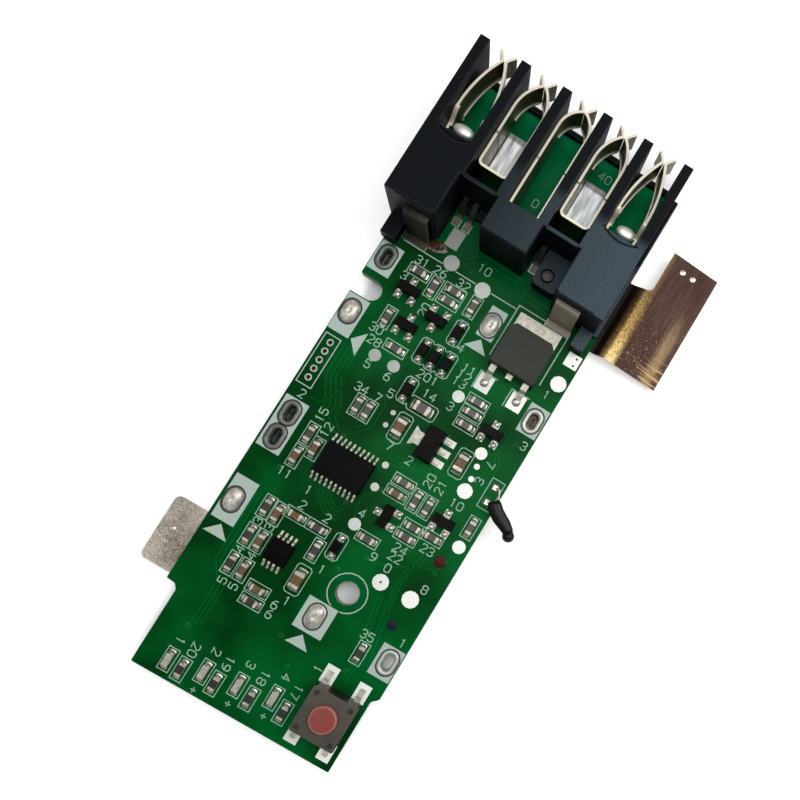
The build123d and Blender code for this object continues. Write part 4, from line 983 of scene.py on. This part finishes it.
# %% Pen dots, weld marks and a pin hole
for name, x, y, wide, high in (("red", 7.7, 9.0, 1.5, 0.07), ("violet", 6.7, -0.7, 1.2, 0.05)):
    dot = placed(mound(wide, wide, high, 6, 24, 3.0), x, y)
    piece(name + "_pen_dot", dot, finishes[name + "_dot"], smooth=True)

TAB_UNDER = 1.68                            # depth of the left tab's face below the board's
weld = mound(0.95, 0.95, 0.11, 8, 24, 1.6)
marks = [placed(weld, x, y, z=-TAB_UNDER) for x, y in ((-22.55, -4.2), (-22.6, -6.0))]
for x in (15.3, 16.9):                      # the right tab falls by 0.9 between x = 12.2 and 20
    marks.append(placed(weld, x, 57.6, z=-0.685 - 0.9 * (x - 12.2) / 7.8))
nugget = start("spot_weld_nugget", "#bdb6a8", 0.3, Metallic=0.9)[0]
piece("weld_marks", joined(marks), nugget, smooth=True)
# The pin hole is a dark dot of painted shade.
hole = placed(mound(0.3, 0.3, 0.012, 4, 14), 2.75, 3.2, z=0.05)
piece("pin_hole", hole, finishes["margin"], smooth=True)

# %% [markdown]
# ## Sleeve of the probe
# The temperature probe's wires run in a short black sleeve, pressed flat. It is an oval carried along
# a bent line, wide in the middle and narrow at the bead. It takes the place of the plain solid one.

# %% Probe sleeve
def flat_tube(path, wide, thick, middle, sides=16):
    """Round a line, x and y step out by wide / 2 cos t and z by thick / 2 sin t about the middle."""
    path = np.asarray(path, float)
    t = np.linspace(0, 2 * np.pi, sides, endpoint=False)
    half = np.asarray(wide, float)[:, None, None] / 2
    xy = path[:, None, :] + offsets(path, False)[:, None, :] * half * np.cos(t)[None, :, None]
    z = np.broadcast_to(middle + thick / 2 * np.sin(t)[None, :, None], (len(path), sides, 1))
    faces = grid_faces(len(path), sides, wrap_columns=True).tolist()
    faces += [list(range(sides))[::-1], list(range((len(path) - 1) * sides, len(path) * sides))]
    return np.concatenate([xy, z], 2).reshape(-1, 3), faces


SLEEVE = np.array([(9.6, 18.95, 1.5), (9.95, 18.55, 1.8), (10.5, 18.0, 1.85), (11.3, 17.5, 1.85),
                   (12.2, 17.1, 1.7), (12.9, 16.65, 1.45), (13.2, 16.35, 1.3)])     # x, y and width
sleeve = piece("probe_heatshrink", flat_tube(SLEEVE[:, :2], SLEEVE[:, 2], 0.9, 0.75), finishes["sleeve"],
               smooth=True)
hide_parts("probe_sleeve")

# %% [markdown]
# ## Small forms of the moulding
# On each outer block a shallow arc is pressed into the top, which shows as a thin dark line. Along the
# right side the moulding ends in a low foot that covers the edge of the board, and the boss behind the
# fourth bay carries the brown end of a locating peg.

# %% Arc marks on the outer blocks
BLOCK_TOP = 8.6
bow = np.linspace(-1, 1, 15)
arcs = [np.column_stack([BAY_X[i] + shift + 2.35 * bow, 53.3 - 0.62 * (1 - bow ** 2)])
        for i, shift in ((0, 0.0), (4, 0.35))]
arc_lines = [ribbon(arc, 0.15, BLOCK_TOP + 0.03, low=BLOCK_TOP) for arc in arcs]
piece("arc_marks", joined(arc_lines), finishes["groove"])

# %% Side foot and peg end
foot_xy = np.array([[9.45, 43.6], [10.17, 43.6], [10.17, 64.5], [9.45, 64.5]])
foot = np.vstack([np.column_stack([foot_xy, np.full(4, z)]) for z in (0.0, 0.55)])
foot[[5, 6], 0] -= 0.12                     # the outer side leans in
foot_faces = [[3, 2, 1, 0], [4, 5, 6, 7], [0, 1, 5, 4], [1, 2, 6, 5], [2, 3, 7, 6], [3, 0, 4, 7]]
piece("side_foot", (foot, foot_faces), finishes["nylon"])
peg = placed(mound(1.36, 1.36, 0.05, 5, 20, 4.0), 0.75, 46.5, z=2.38)
piece("peg_end", peg, finishes["peg"], smooth=True)

# %% [markdown]
# ## Floor, light and camera
# The floor is plain and pale. Seen directly or in a mirror it gets a little light of its own, so the
# background is white, while it still shows the shadow. That glow stops below the board and a little
# past it under the connector, which leaves a painted contact shadow there. Three soft lamps, a small
# card over the bays and a pale sky give the metal something to mirror, at a level where a colour
# renders about as it is written.

# %% Floor
floor_mat, floor_shader, node, mm = start("pale_studio_floor", "#f2f2f2", 0.9, Specular_IOR_Level=0.0)
low_corner, high_corner = (np.array(c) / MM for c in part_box("circuit_board"))
high_corner[1] += 7.5                       # the connector reaches on past the board
middle, half = (low_corner + high_corner) / 2, (high_corner - low_corner) / 2


def inside(axis, fade):
    """1 where a point lies inside the shaded span along one axis, running out over a fade in mm."""
    i = "XY".index(axis)
    off = node("Math", (node("SeparateXYZ", (mm,), axis), float(middle[i])), operation="SUBTRACT")
    edge = float(half[i]) - 0.3
    return node("MapRange", (node("Math", (off,), operation="ABSOLUTE"), edge - fade, edge, 1.0, 0.0))


direct = node("Math", [node("LightPath", out=f"Is {ray} Ray") for ray in ("Camera", "Glossy")],
              operation="MAXIMUM")
direct = node("Math", (direct, node("LightPath", out="Is Transmission Ray")), operation="MAXIMUM")
# Where the glow is cut, below the board and the connector's front, the floor is a painted contact shadow.
painted_contact_shadow = node("Math", (inside("X", 1.1), inside("Y", 4.0)), operation="MULTIPLY")
far = node("VectorMath", (mm,), "Value", operation="LENGTH")
near = node("Math", (node("MapRange", (painted_contact_shadow, 0, 1, 0.42, 0.02)),
                     node("MapRange", (far, 120.0, 400.0, 0.0, 0.6))), operation="ADD")
glow = node("Math", (direct, near), operation="MULTIPLY")
fill(floor_shader, {"Emission Color": "#ffffff", "Emission Strength": glow})

u, v = np.meshgrid(np.linspace(-3, 3, 3), np.linspace(-3, 3, 3), indexing="ij")
floor_mesh = bpy.data.meshes.new("floor")
floor_points = np.stack([u, v, u * 0], 2).reshape(-1, 3)
floor_mesh.from_pydata(floor_points.tolist(), [], grid_faces(3, 3)[:, ::-1].tolist())
floor = bpy.data.objects.new("floor", floor_mesh)
floor.data.materials.append(floor_mat)
bpy.context.scene.collection.objects.link(floor)
print("floor shaded to", half, "mm round", middle)

# %% Sky
world = bpy.data.worlds.new("studio")
bpy.context.scene.world = world
world.use_nodes = True
node = partial(add, world.node_tree)
direct = node("Math", [node("LightPath", out=f"Is {ray} Ray") for ray in ("Camera", "Transmission")],
              operation="MAXIMUM")
up = node("SeparateXYZ", (node("TexCoord", out="Generated"),), "Z")
shade = node("Mix", {0: node("MapRange", (up, 0.5, 0.95)), 6: (0.25, 0.25, 0.25, 1),
                     7: (0.5, 0.51, 0.52, 1)}, **COLOUR)
background = node("Mix", {0: direct, 6: shade, 7: "#ffffff"}, **COLOUR)
fill(world.node_tree.nodes["Background"], {"Color": background, "Strength": 1.0})
print("sky ready")


# %% Lamps
def soft_lamp(name, where, at_point, size, watts):
    """A square lamp at a place in metres, its face turned to a point."""
    data = bpy.data.lights.new(name, "AREA")
    data.size, data.energy = size, watts
    lamp = bpy.data.objects.new(name, data)
    bpy.context.scene.collection.objects.link(lamp)
    z = np.subtract(where, at_point)
    z /= np.linalg.norm(z)
    x = np.cross([0, 1, 0.01], z)
    x /= np.linalg.norm(x)
    m = np.eye(4)
    m[:3] = np.column_stack([x, np.cross(z, x), z, where])
    lamp.matrix_world = Matrix(m.tolist())


soft_lamp("ceiling", (0.005, 0.045, 0.34), (0, 0, 0), 0.16, 0.28)
soft_lamp("window", (0.22, 0.20, 0.34), (0, 0, 0), 0.22, 0.85)
soft_lamp("fill", (-0.30, -0.10, 0.30), (0, 0, 0), 0.30, 0.2)
soft_lamp("bay_card", (-0.05, 0.17, 0.34), (0, 0.03, 0), 0.08, 0.03)
print("lamps ready")

# %% Camera
# Its place and axes were fitted to known corners of the board, in the photograph's frame. The shift is
# that of the fitted image centre.
RIGHT = np.array([0.85453723, 0.51081106, 0.09401166])
DOWN = np.array([0.5162189, -0.85526227, -0.04521617])
AHEAD = np.array([0.05730771, 0.0871695, -0.99454377])
PLACE = np.array([10.8597, -8.3857, 104.1088]) * MM
camera_data = bpy.data.cameras.new("camera")
camera_data.lens, camera_data.sensor_width = 36.292, 36.0
camera_data.shift_x, camera_data.shift_y = -0.1845, 0.1118
camera_data.clip_start, camera_data.clip_end = 0.005, 20
camera = bpy.data.objects.new("camera", camera_data)
m = np.eye(4)
m[:3] = np.column_stack([RIGHT, -DOWN, -AHEAD, PLACE])
camera.matrix_world = Matrix(m.tolist())
bpy.context.scene.collection.objects.link(camera)
bpy.context.scene.camera = camera
bpy.context.scene.view_settings.view_transform = "Standard"
print("camera at", PLACE)
